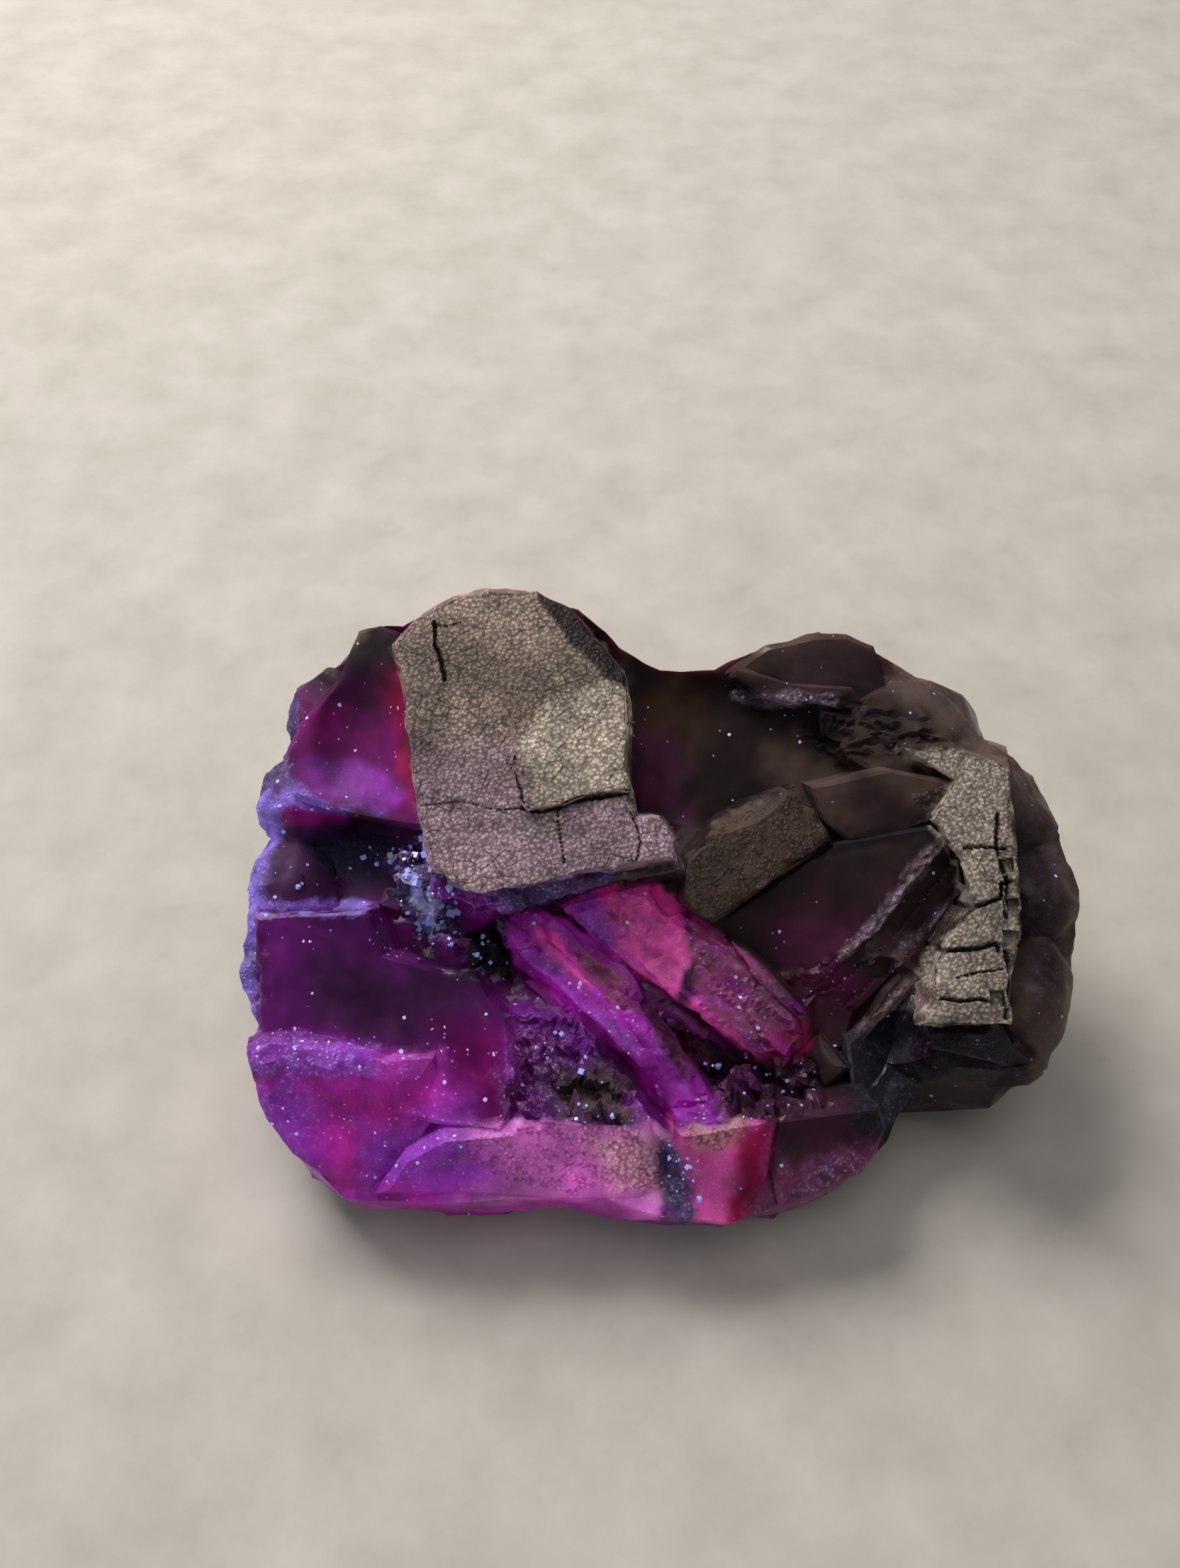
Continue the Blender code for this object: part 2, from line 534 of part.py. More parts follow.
def combine(body, tool, operation):
    """Joins a helper to the body or cuts it away, and leaves the helper out of the model."""
    modifier = body.modifiers.new(tool.name, "BOOLEAN")
    modifier.operation = operation
    modifier.object = tool
    tool.hide_render = True
    tool.display_type = "WIRE"


def build():
    clear_scene()
    material = fluorite()
    body = core(material)
    for name, sizes in LUMPS.items():
        combine(body, lump(name, material, **sizes), "UNION")
    for name, sizes in HOLLOWS.items():
        combine(body, scoop(name, material, **sizes), "DIFFERENCE")
    for name, sizes in CRYSTALS.items():
        combine(body, crystal(name, material, **sizes), "UNION")
    for name, sizes in SCOOPS.items():
        combine(body, scoop(name, material, **sizes), "DIFFERENCE")
    for name, sizes in RODS.items():
        combine(body, rod(name, material, **sizes), "UNION")
    for cube in small_cubes(material):
        combine(body, cube, "UNION")
    for name, sizes in PITS.items():
        combine(body, pit(name, material, **sizes), "DIFFERENCE")
    combine(body, table_cutter(material), "DIFFERENCE")


build()
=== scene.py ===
"""A fluorite hand specimen: one broken mass of intergrown crystals on a pale table.

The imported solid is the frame. Its copy is refined, given the crust, cleavage steps and weathering
that the stone shows, and coloured zone by zone. Tiny cubes then line its hollows.
"""

import math
import random

import bmesh
import bpy
import numpy as np
from mathutils import Matrix, Vector, noise
from mathutils.bvhtree import BVHTree


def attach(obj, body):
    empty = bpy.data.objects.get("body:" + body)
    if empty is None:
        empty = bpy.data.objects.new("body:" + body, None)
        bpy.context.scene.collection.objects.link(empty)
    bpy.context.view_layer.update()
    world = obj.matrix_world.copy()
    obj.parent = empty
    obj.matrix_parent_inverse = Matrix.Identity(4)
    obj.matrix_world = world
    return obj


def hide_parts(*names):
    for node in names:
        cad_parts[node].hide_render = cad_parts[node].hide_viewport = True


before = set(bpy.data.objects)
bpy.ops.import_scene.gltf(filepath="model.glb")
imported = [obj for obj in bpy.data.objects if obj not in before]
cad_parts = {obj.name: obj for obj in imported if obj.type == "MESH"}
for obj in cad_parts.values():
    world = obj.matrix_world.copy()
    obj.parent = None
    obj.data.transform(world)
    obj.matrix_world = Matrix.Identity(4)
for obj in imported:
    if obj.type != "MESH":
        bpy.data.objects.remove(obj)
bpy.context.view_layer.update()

MM = 0.001

# Growth plane, as the solid has it: u to the right, v up the slope, w outwards, in millimetres
PLANE_LEAN_DEG = 50.0
PLANE_ZERO = Vector((0.75, -0.98, 17.0))

# Camera: straight at the growth plane, u and v of the picture's middle
CAMERA_MIDDLE = (-6.6, 11.7)
CAMERA_DISTANCE = 150.8
CAMERA_LENS = 38.6

# Mesh size beside the crust's cracks, on the rest of the crust, on the rest of the growth side,
# and on the sides and back
CRACK_EDGE = 0.3
CRUST_EDGE = 0.5
FRONT_EDGE = 0.7
BACK_EDGE = 1.3
# How near a crack counts as beside it
CRACK_MARGIN = 0.6
# Passes of cutting, each as a multiple of the mesh size above which an edge is cut
CUT_PASSES = (8.0, 4.0, 2.4, 1.6, 1.25, 1.0, 1.0)
# Where the mesh is as fine as the crust needs: range of u, range of v, and the level above which
# it is, at a v and with its slope along v
FINE_AREAS = [
    ((-24, 1.5), (1.5, 29), 1.6, 16, -0.375),
    ((20, 31), (-9, 15), 5.6, 3, -0.375),
    ((14, 27), (-9, 8), -3, 0, 0.0),
]
# Sides and back lie this far behind the growth side, on a level that falls with v, or are this low
BACK_SLOPE = 0.4
BACK_REACH = 9
FOOT_HEIGHT = 4
# Edges of the mesh that turn less than this are shaded smooth
SMOOTH_BELOW_DEG = 28

# Colours of the stone's zones
PALETTE = {
    "smoke": "#2a1c1e",
    "smoke_red": "#321528",
    "smoke_violet": "#36262a",
    "smoke_warm": "#2c1c14",
    "hollow_smoke": "#170c0d",
    "smoke_brown": "#43342f",
    "weathered": "#54453e",
    "near_black": "#120a0f",
    "slate": "#1d1a1f",
    "navy": "#171330",
    "aubergine": "#341438",
    "plum": "#3f1149",
    "deep_magenta": "#4f0848",
    "magenta": "#76207a",
    "ridge_magenta": "#6c2280",
    "rose": "#a84a88",
    "dusk_rose": "#66304f",
    "violet": "#6a2a8c",
    "dusk_violet": "#43315a",
    "frosted_violet": "#6450a0",
    "bright_druse": "#c4c6f4",
    "blue_violet": "#4a3c80",
    "frosted_rose": "#b068b0",
    "crimson": "#600a32",
    "tan": "#a2727c",
    "pink_tan": "#cc9ab0",
    "bronze": "#86756a",
    "stained_bronze": "#6a5b51",
    "bronze_mauve": "#8d7480",
    # painted sheen on the crust of the tall block
    "painted_sheen_bronze": "#9c8f81",
    "grey_bronze": "#80756b",
    "dark_bronze": "#46372f",
}

# Outlines on the growth plane that more than one list uses
TALL_BLOCK = [
    (-24.5, 24.5), (-22.5, 27.0), (-19.0, 29.0), (-16.0, 29.5), (-11.5, 29.5), (-8.5, 28.0),
    (-6.0, 25.0), (-3.5, 22.0), (-3.0, 19.5), (-3.0, 12.5), (-2.5, 9.0), (-0.5, 9.0),
    (1.0, 7.0), (1.0, 5.0), (-4.0, 4.5), (-7.5, 4.0), (-10.5, 3.0), (-13.5, 2.5), (-16.0, 2.0),
    (-18.5, 3.0), (-20.0, 4.5), (-21.0, 6.5), (-22.0, 11.0), (-23.0, 17.5),
]
RIGHT_BLOCK = [
    (20.5, 15.0), (25.5, 15.0), (30.5, 13.0), (30.3, 7.5), (30.5, 3.0), (30.0, -1.5),
    (28.8, -4.5), (28.5, -8.5), (20.5, -8.5), (22.5, -6.0), (22.5, -3.5), (23.5, -2.0),
    (26.0, 1.0), (25.5, 5.0), (23.0, 8.5), (25.5, 12.0),
]
FROSTED_BAND = [
    (-37.0, -10.2), (-30, -9.9), (-24.6, -11.0), (-24.3, -13.0), (-30.1, -12.8), (-37, -12.8),
]
SILL = [
    (-22.4, 7.0), (-20.8, 4.9), (-18.8, 3.2), (-16, 2.3), (-13.5, 2.7), (-10.5, 3.2), (-7.5, 4.0),
    (-4.6, 4.2), (-5.0, 2.5), (-10, 0.5), (-18, 0), (-23, 4),
]
SMALL_BLOCK = [
    (2.0, 5.0), (4.5, 8.0), (7.5, 10.0), (11.0, 11.0), (13.5, 9.5), (15.0, 6.5), (11.0, 4.0),
    (6.0, 0.5), (4.0, -0.5), (1.5, 1.5),
]

# Crusted faces: outline, the face's level at a pivot with its slope along u and v, how far off
# that level still counts, and how strong the crust is
CRUSTS = [
    (TALL_BLOCK, (-10, 16), 2.0, (-0.03, -0.375), 1.3, 1.0),
    (RIGHT_BLOCK, (27, 3), 6.5, (0.0, -0.375), 0.9, 1.0),
    ([(21.4, -8.6), (22.6, -4), (23.2, -2), (25.8, 1.4), (27, 1), (24.8, -2.4), (24.4, -8.6)],
     (23.6, -3), 6.0, (0.9, -0.375), 6.0, 0.9),
    ([(22.0, 10.5), (26.0, 11.9), (26.3, 9.2), (23.8, 8.6)], (19, 9.5), 1.8, (0.12, 0.05), 1.2,
     0.9),
    (SMALL_BLOCK, (9, 5), 2.5, (-0.15, -0.1), 0.8, 0.45),
    ([(2.5, 6.0), (4.5, 10.0), (8.5, 12.0), (12.5, 11.4), (13.4, 9.0), (6, 7)], (8, 9), 2.2,
     (-0.1, -0.9), 3.0, 0.45),
    ([(0.6, -15.6), (6.4, -15.7), (6.2, -18.5), (1.7, -19.2)], (4, -18), 10.6, (0, 0.3), 2, 0.55),
    ([(-18, -17), (-13, -16.2), (-4, -15.8), (-0.4, -18.2), (-1, -22.8), (-8, -23), (-16, -21)],
     (-12, -18), 10.2, (0, 0.25), 2, 0.46),
    ([(-5.3, -18.0), (-0.6, -19.0), (-0.6, -22.6), (-3.4, -22.4)], (-12, -18), 10.2, (0, 0.25), 2,
     0.7),
]

# Colour zones, later ones over earlier ones: outline, colour, softness in millimetres, frost and
# glow. Frost is the whitish bloom of fine crystals, glow the zone's light-struck magenta.
ZONES = [
    # the whole lower left, and the smoky upper right
    ([(-42, 12), (-20, 6), (-12, 0), (0, -6), (9, -14), (9, -30), (-42, -30)], "plum", 6, 0.0, 0.5),
    ([(5, 30), (40, 26), (40, -20), (26, -14), (26, 6), (16, 14), (6, 20)], "smoke_brown", 3, 0, 0),
    # left scooped crystal: dark top, magenta middle, red along the tall block, frosted rim
    ([(-36, 22), (-21, 28), (-20, 6), (-36, 8)], "deep_magenta", 1.0, 0.0, 0.6),
    ([(-34, 28), (-21, 28), (-22.0, 19), (-27.5, 20), (-33, 20)], "near_black", 7, 0.0, 0.0),
    ([(-26.0, 22), (-23.0, 23), (-21.6, 9), (-22.8, 9)], "crimson", 2.2, 0.0, 0.9),
    ([(-34.2, 12.2), (-30, 10.0), (-25, 9.3), (-25, 8.7), (-30, 8.8), (-36, 10.4)],
     "frosted_violet", 0.8, 0.8, 0.2),
    ([(-33, 14), (-27, 13.4), (-23, 10.8), (-24, 9.4), (-32, 10.4)], "ridge_magenta", 2.0, 0.1,
     0.2),
    ([(-29, 9.2), (-21.5, 8.4), (-21.5, 6.6), (-29, 7.2)], "smoke_red", 1.0, 0.0, 0.1),
    ([(-38, 10), (-34.2, 12), (-33.6, 18), (-34.5, 26), (-38, 26)], "dusk_violet", 1.5, 0.6, 0.0),
    ([(-36, 26), (-27, 29), (-27.5, 25.5), (-31, 22.5), (-35, 22)], "smoke_brown", 1.6, 0.2, 0.0),
    # hollow under it, dark in the middle, frosted at the left edge, bright druse at the right
    ([(-37, 8), (-24, 8), (-20, 4), (-22, 0.9), (-37, 0.9)], "aubergine", 1.4, 0.0, 0.1),
    ([(-33, 6.5), (-26, 7), (-24, 4), (-27, 2.6), (-31, 3)], "navy", 2.4, 0.1, 0.0),
    ([(-40, 11), (-35.0, 10.4), (-35.4, 7), (-36.8, 0), (-36.4, -13), (-40, -13)],
     "frosted_violet", 1.4, 0.9, 0.0),
    ([(-25.5, 4.4), (-22, 7.0), (-18.8, 3.4), (-18.2, -2.0), (-21.8, -2.4), (-23.6, 0.8)],
     "dusk_violet", 1.6, 1.0, 0.0),
    ([(-23.0, 3.8), (-21.2, 4.4), (-20.2, 1.6), (-21.0, -1.2), (-22.4, 0.6)], "bright_druse", 1.4,
     0.8, 0.0),
    # front left block: plum face, dark patch, deep magenta lower right
    ([(-37, 0.6), (-26, 0.9), (-24.5, -2.6), (-16.3, -4.2), (-13.2, -8), (-12.8, -15.5),
      (-14, -18), (-36, -13.5)], "plum", 0.5, 0.0, 0.6),
    ([(-30.5, -4.2), (-18.6, -4.2), (-16.8, -6.7), (-17.6, -9.0), (-21.5, -9.8), (-30.2, -9.0)],
     "aubergine", 4.0, 0.0, 0.1),
    ([(-19.6, -9.0), (-13.8, -8.8), (-13.0, -17.9), (-19.6, -18.2)], "deep_magenta", 4.0, 0.0, 0.9),
    # painted highlight: a thin frosted violet line along the block's top edge, where the edge
    # catches the light
    ([(-37.5, 0.7), (-26, 1.0), (-26, 0.5), (-37.5, 0.2)], "frosted_violet", 0.4, 0.9, 0.3),
    # the cheek below it, under its frosted band
    ([(-36, -13.2), (-19.0, -12.3), (-18.1, -18.2), (-22.9, -26), (-30, -26), (-37, -18)],
     "magenta", 2.0, 0.15, 0.9),
    (FROSTED_BAND, "violet", 1.0, 0.9, 0.4),
    ([(-24.8, -11.2), (-19.0, -10.8), (-19.4, -12.0), (-24.3, -12.9)], "magenta", 1.0, 0.5, 0.5),
    ([(-27.0, -15.5), (-22.2, -15.2), (-21.5, -20.1), (-24.6, -24), (-28.4, -23)], "crimson", 5,
     0.0, 1.0),
    ([(-37, -14), (-32, -14), (-29, -19), (-31, -26), (-38, -20)], "violet", 4, 0.4, 0.6),
    # front ledge, violet at its left, magenta at its lower edge, pinkish tan at its right
    ([(-20.5, -17.0), (-13.5, -16.6), (-12.5, -15.0), (-4, -15.4), (-1, -17.2), (0.3, -19.5),
      (-1, -26), (-26, -26), (-24, -19)], "frosted_rose", 0.8, 0.35, 0.45),
    ([(-26, -17), (-17, -16.6), (-14, -22), (-20, -26), (-27, -24)], "violet", 5.0, 0.3, 0.5),
    ([(-26, -22.8), (-16, -23.2), (-3, -23.8), (-3, -30), (-27, -30)], "magenta", 3.5, 0.1, 0.5),
    ([(-8, -17.5), (-0.4, -18.6), (-0.6, -22.6), (-4.0, -22.0)], "pink_tan", 3.0, 0.2, 0.2),
    # knob: crusted top, dusky notch, crimson strip
    ([(0.2, -17), (9, -15.2), (8.7, -21), (7.2, -26), (0.6, -26)], "rose", 1.2, 0.3, 0.4),
    ([(1.2, -15.6), (6.4, -15.7), (6.2, -18.3), (1.9, -18.8)], "tan", 1.6, 0.2, 0.1),
    ([(-0.8, -18.2), (1.0, -19.4), (2.4, -24.3), (2.0, -27), (0.6, -26), (-0.8, -21.6)],
     "dusk_violet", 1.2, 0.7, 0.0),
    ([(6.1, -17.4), (8.8, -15.6), (8.8, -20.6), (6.9, -26), (4.9, -26)], "crimson", 1.8, 0.0, 0.7),
    # right front block
    ([(9, -15), (19.5, -15), (19, -19), (12, -19.6), (8.8, -18.5)], "smoke_red", 1.6, 0.0, 0.1),
    ([(8.8, -18.8), (12, -19.6), (18.8, -18.8), (19, -26), (7, -26)], "dusk_rose", 2.6, 0.4, 0.1),
    ([(12.8, -20.2), (15.5, -20.6), (15, -22.5), (12.0, -23)], "dusk_rose", 2.2, 0.8, 0.0),
    # rose slab and magenta ridge of the middle, and the crumbly floors beside them
    ([(-9.3, 0.8), (-6.5, 2.2), (-1, 3.2), (2.5, 0.2), (12.6, -7.6), (12.5, -11.4), (10, -13.6),
      (5, -10.8), (0.5, -7.2), (-6.5, -2.2)], "rose", 0.7, 0.3, 0.55),
    ([(-9.3, 0.8), (-6.5, 2.2), (-5.6, 1.0), (-4.6, -3.0), (-2.5, -6), (-6.5, -2.2)], "violet", 1.6,
     0.5, 0.4),
    ([(1.8, 0.4), (4.0, -1.0), (12.6, -7.6), (12.5, -11.4), (10, -13.6), (4, -9.0), (2.4, -4)],
     "dusk_rose", 1.2, 0.4, 0.25),
    ([(1.6, 0.6), (2.4, 0.2), (3.0, -4.2), (2.0, -7.2), (1.2, -6.6), (2.2, -3.8)], "smoke_red",
     0.5, 0.1, 0.1),
    ([(9.5, -10), (12.6, -10), (11.5, -14), (8, -13)], "crimson", 2.4, 0.1, 0.4),
    ([(-14.8, -0.6), (-11.5, 1.0), (-8.3, -0.2), (-4.3, -4), (-0.8, -9.4), (2.7, -13.2),
      (5.0, -16.6), (0.5, -17), (-3.7, -12.2), (-8.5, -8.2), (-13.2, -4.2)], "ridge_magenta", 0.6,
     0.15, 0.7),
    # painted highlight: a thin frosted violet streak along the ridge's crest, where it catches the
    # light
    ([(-13.8, -1.4), (-11.2, -3.3), (-8.4, -6.0), (-6.0, -8.0), (-2.6, -10.8), (-2.7, -11.2),
      (-6.2, -8.4), (-8.8, -6.4), (-11.9, -3.8)], "violet", 0.8, 0.7, 0.5),
    ([(-11.0, -0.4), (-8.2, -3.2), (-6.4, -6.2), (-8.0, -5.2), (-11.4, -1.6)], "rose", 1.4, 0.3,
     0.8),
    ([(-8.4, -2.2), (-5.0, -3.8), (-2.2, -8.0), (-4.2, -8.0), (-7.6, -4.4)], "dusk_rose", 1.2, 0.3,
     0.2),
    ([(-2.5, -6.0), (1.2, -7.2), (5.7, -11.3), (5.2, -14.2), (1.2, -13.6), (-1.0, -10.6)],
     "smoke_red", 0.8, 0.1, 0.15),
    ([(-13.6, -7.6), (-8.5, -8.4), (-3.4, -13.6), (-2.0, -16.8), (-13.2, -16.4)],
     "ridge_magenta", 1.0, 0.6, 0.0),
    ([(-13.4, -9), (-10.4, -9.4), (-8.0, -13), (-9.5, -16.2), (-13.2, -16.2)], "plum", 2.4, 0.9,
     0.5),
    ([(-9.5, -13.2), (-5.6, -12.0), (-3.0, -14.4), (-3.4, -16.6), (-9.5, -16.6)],
     "smoke_brown", 1.6, 0.3, 0.0),
    ([(3.5, -13), (13, -12.5), (14, -16), (4.5, -16.4)], "smoke_red", 1.4, 0.1, 0.0),
    ([(-18, -2.4), (-14, 0.5), (-13.2, -6.5), (-15.4, -5.4), (-18, -4.6)], "near_black", 1.0, 0.2,
     0.0),
    # smoky hollow, slabs and flanks of the right
    ([(-3, 24), (8, 21.5), (17, 18), (15, 12.4), (10, 10.6), (4, 8), (-2.6, 8.8)], "hollow_smoke",
     1.0, 0, 0.0),
    ([(-2, 20), (3, 20.5), (6, 17), (3, 14.5), (-1, 16)], "smoke_warm", 3.0, 0.0, 0.0),
    ([(-2.8, 17), (1.5, 16), (2.5, 8), (-2.4, 8.4)], "smoke_red", 3, 0.0, 0.15),
    ([(9, 15), (17, 15), (17, 8), (11, 9)], "smoke_brown", 4, 0.0, 0.0),
    ([(8, 19.6), (10, 22.4), (15, 25), (21, 23.5), (21, 20), (14, 20.2)], "smoke_violet", 2.5, 0.0,
     0.0),
    ([(22, 24), (29, 20), (31, 14), (27, 15), (24, 18.6), (21, 20.6)], "weathered", 2.0, 0.1, 0.0),
    ([(6.5, 19.8), (9, 19.0), (16, 19.2), (16, 19.8), (9, 19.9), (7, 20.8)], "weathered", 0.4, 1.0,
     0.0),
    (SMALL_BLOCK, "dark_bronze", 0.3, 0.1, 0.0),
    ([(6, 0.2), (15, 7.0), (26, 8), (27, 3), (16, -10), (11, -8)], "smoke", 1.2, 0.0, 0.0),
    ([(8, -0.5), (15, 2.6), (19.5, -1), (16.5, -10.2), (11.4, -8.2)], "smoke_red", 5, 0.0, 0.5),
    ([(13.2, 5.4), (15.2, 6.8), (25, 8.8), (25, 7.8), (15.5, 5.4)], "near_black", 0.6, 0.0, 0.0),
    ([(12.0, -3.0), (17.0, 1.0), (20.0, 2.6), (17.0, -2.8), (13.0, -6.0)], "smoke_red", 3, 0.0,
     0.6),
    ([(26.4, 8.0), (24.2, 5.0), (17.4, -2.8), (15.8, -4.4), (22.0, -6.5), (27.6, 2.5)],
     "smoke", 0.5, 0.0, 0.0),
    ([(25.6, 7.2), (23.6, 4.9), (19.0, -0.9), (15.6, -4.0), (15.4, -3.3), (18.4, 0.0),
      (22.8, 5.6)], "weathered", 0.5, 1.0, 0.0),
    ([(27.2, 2.6), (27.0, 1.8), (20.6, -4.0), (19.8, -3.4), (24.0, 0.6)], "smoke_brown", 0.5, 0.5,
     0.0),
    ([(23.8, -4.4), (23.6, -5.8), (20, -9.2), (17.2, -11.8), (15.8, -11), (19.5, -7.2),
      (22.4, -4.4)], "weathered", 0.6, 0.6, 0.0),
    ([(15.5, -10.6), (20, -8.2), (25, -5.5), (25.5, -11), (22, -21), (15.5, -17)], "slate", 1.0,
     0.1, 0.0),
    ([(21, -8.7), (29, -8.6), (33, -12), (31, -16), (22, -13)], "near_black", 1.0, 0.1, 0.0),
    ([(30.8, 14), (38, 8), (40, -14), (31.5, -14), (30.6, -2)], "smoke_brown", 1.6, 0.1, 0.0),
    ([(30.4, 9), (33.4, 7), (35.0, 2), (33.6, -6), (30.4, -11), (30.6, -2)], "smoke", 2.4, 0.1,
     0.0),
    ([(35.6, -3), (38, -2), (37, -10), (34, -14), (33, -10)], "weathered", 2.0, 0.1, 0.0),
    # lumpy sill under the tall block
    ([(-22.5, 10), (-21, 3.5), (-19.5, 1.4), (-16, -0.1), (-12.5, 0.3), (-8.5, 1.4), (-7.5, 6)],
     "dusk_violet", 1.0, 0.9, 0.0),
    ([(-22.5, 8), (-21.4, 3.6), (-18.6, 1.6), (-17.0, 1.6), (-19.0, 3.4), (-21.0, 8)],
     "frosted_violet", 0.8, 1.0, 0.1),
    ([(-4.5, 6), (-4.0, 2.2), (-1.5, 2.9), (2.2, 3.8), (1, 6)], "smoke_brown", 1.2, 0.4, 0.0),
    # crusted faces
    (TALL_BLOCK, "bronze", 0.3, 0.0, 0.0),
    (RIGHT_BLOCK, "grey_bronze", 0.3, 0.0, 0.0),
]
# Stains on the crust of the tall block, a dark strip along its upper right edge, and a pale patch
# right of its middle that is a painted sheen, in the same terms
STAINS_AND_SHEEN = [
    ([(-24, 15), (-14, 15), (-11, 9), (1.2, 8), (1.2, 4), (-16, 1.6), (-22, 5)], "bronze_mauve", 7,
     0.0, 0.0),
    ([(-19, 26), (-13, 24), (-9, 19.5), (-12, 16.5), (-18, 19)], "stained_bronze", 6, 0.0, 0.0),
    # painted sheen: the pale patch right of the block's middle, where the light falls on the crust
    ([(-12.4, 15.0), (-10, 20), (-3.5, 21), (-3, 11.4), (-7, 10.9), (-11.2, 9.8), (-11.8, 12)],
     "painted_sheen_bronze", 0.8, 0.0, 0.0),
    ([(-9.2, 9.2), (-6, 10.6), (-2.6, 9.6), (1, 6), (1, 4.6), (-8.6, 3.9)], "bronze_mauve", 0.8,
     0.0, 0.0),
    ([(-11.6, 30.5), (-6, 26.8), (-2.0, 20.5), (-3.4, 20.2), (-6.4, 22.4), (-8.8, 24.9),
      (-11.4, 28.4)], "smoke", 0.5, 0.2, 0.0),
]
# Frost on the sill under the tall block, laid last
SILL_FROST = [
    (SILL, "dusk_violet", 0.6, 1.0, 0.1),
    ([(-20.8, 4.6), (-18.4, 2.8), (-15.6, 1.8), (-13.6, 0.6), (-16.2, -1.0), (-19.2, 0.8)],
     "ridge_magenta", 1.0, 1.0, 0.2),
]

# Ridge and slab of the middle, whose broken faces run in long narrow strips
RIDGES = [
    (-14.8, -0.2), (-9, 1.2), (-1, 3.2), (12.6, -7.4), (12, -13), (5, -17), (0, -17), (-14, -5),
]
RIDGE_WAY = (0.74, -0.673)
# Upper right, where the glassy stone parts in thin layers
STRATA = [(11, 20.4), (17, 20.8), (24.5, 18.4), (26, 14.8), (21, 13.6), (16, 12), (13, 15)]
STRATA_WAY = (0.985, -0.17)
# Slabs at the right: smooth up to this line, then broken down in steps
SLABS = [(6, 0.5), (15, 7.2), (26, 8.5), (28, 2), (17, -12), (10, -9)]
SLAB_EDGE = [(26.0, 8.0), (23.2, 5.2), (18.8, -0.8), (14.5, -4.6), (10.5, -5.6)]
BELOW_SLAB_EDGE = SLAB_EDGE + [(30, -14), (34, 8)]
# Crumbly floors of the hollows
RUBBLE = [
    [(-13.6, -7.4), (-8.5, -8.4), (-3.4, -13.6), (-1.5, -17.2), (-13.6, -17.0)],
    [(3.5, -13), (13, -12.5), (14, -16), (4.5, -16.6)],
    [(-18.5, -2.4), (-14, 0.5), (-13.2, -6.5), (-15.4, -5.4), (-18, -4.6)],
    [(-25, 4.4), (-22, 7.0), (-18.8, 3.4), (-18.2, -2.0), (-21.8, -2.6), (-24, 0.8)],
]
# Curved break beside the tall block and the middle of its ripples, the front left face with its
# fine steps, and the lumpy sill
CURVED_BREAK = [(-2.5, 22), (8, 21), (15, 17), (14, 12.5), (9.5, 11), (-1, 9)]
RIPPLE_MIDDLE = (-2.5, 25.0)
FRONT_FACE = [(-36, 0), (-26, 0), (-16, -5), (-13, -15), (-19, -17), (-35, -12)]
LUMPY_SILL = [(-23, 9), (-20, 1), (-16, -0.8), (3, 3), (1, 5), (-20, 7)]
# Where the broken faces are dull instead of glassy: outline and roughness
DULL = [
    ([(-3, 26), (8, 24), (22, 20), (22, 12), (10, 10), (4, 8), (-3, 8.5)], 0.95),
    (SMALL_BLOCK, 0.55),
    (SLABS, 0.40),
    ([(28, 16), (40, 10), (40, -16), (28, -16), (30, 0)], 0.45),
    ([(-35, 28), (-21, 28), (-21, 7), (-36, 8)], 0.65),
    ([(-40, 28), (-34, 28), (-33.5, 10), (-40, 8)], 0.6),
    (RIDGES, 0.38),
    ([(-37, 9), (-24, 9), (-18, 3), (-22, 0.8), (-37, 0.8)], 0.6),
    ([(13, 5.4), (15.2, 7.0), (25, 9), (25, 7.6), (15.5, 5.0)], 0.8),
]
# Curved breaks and rounded flanks that the solid has in facets: outline, how far their faces may
# turn from the plane's outward side, and how often the mesh is smoothed there
CURVED = [
    ([(-2.4, 22.5), (5.4, 21.6), (8.2, 19.8), (13.8, 16.9), (14.0, 13.5), (12.4, 12.8), (8, 12),
      (4, 10.2), (1.5, 9.8), (-1.5, 10.4)], 0.3, 31),
    ([(-33, 11.2), (-33.4, 17), (-30.6, 21.8), (-28, 25), (-24.4, 24), (-23.2, 17), (-22.4, 9.8),
      (-28, 9.8)], 0.2, 12),
    ([(-36.5, 9.5), (-30, 8.6), (-22.5, 7.4), (-21.5, 5), (-25, 1.4), (-36.5, 1.0)], 0.1, 20),
    ([(30.8, 14), (38, 8), (40, -14), (31.8, -14), (31.2, 0)], -0.7, 6),
    ([(-40, 28), (-34.4, 28), (-34.8, 8), (-40, 8)], -0.5, 4),
    ([(20.5, 22), (30, 18), (31, 13.6), (26, 15.6), (21, 16)], 0.0, 5),
]

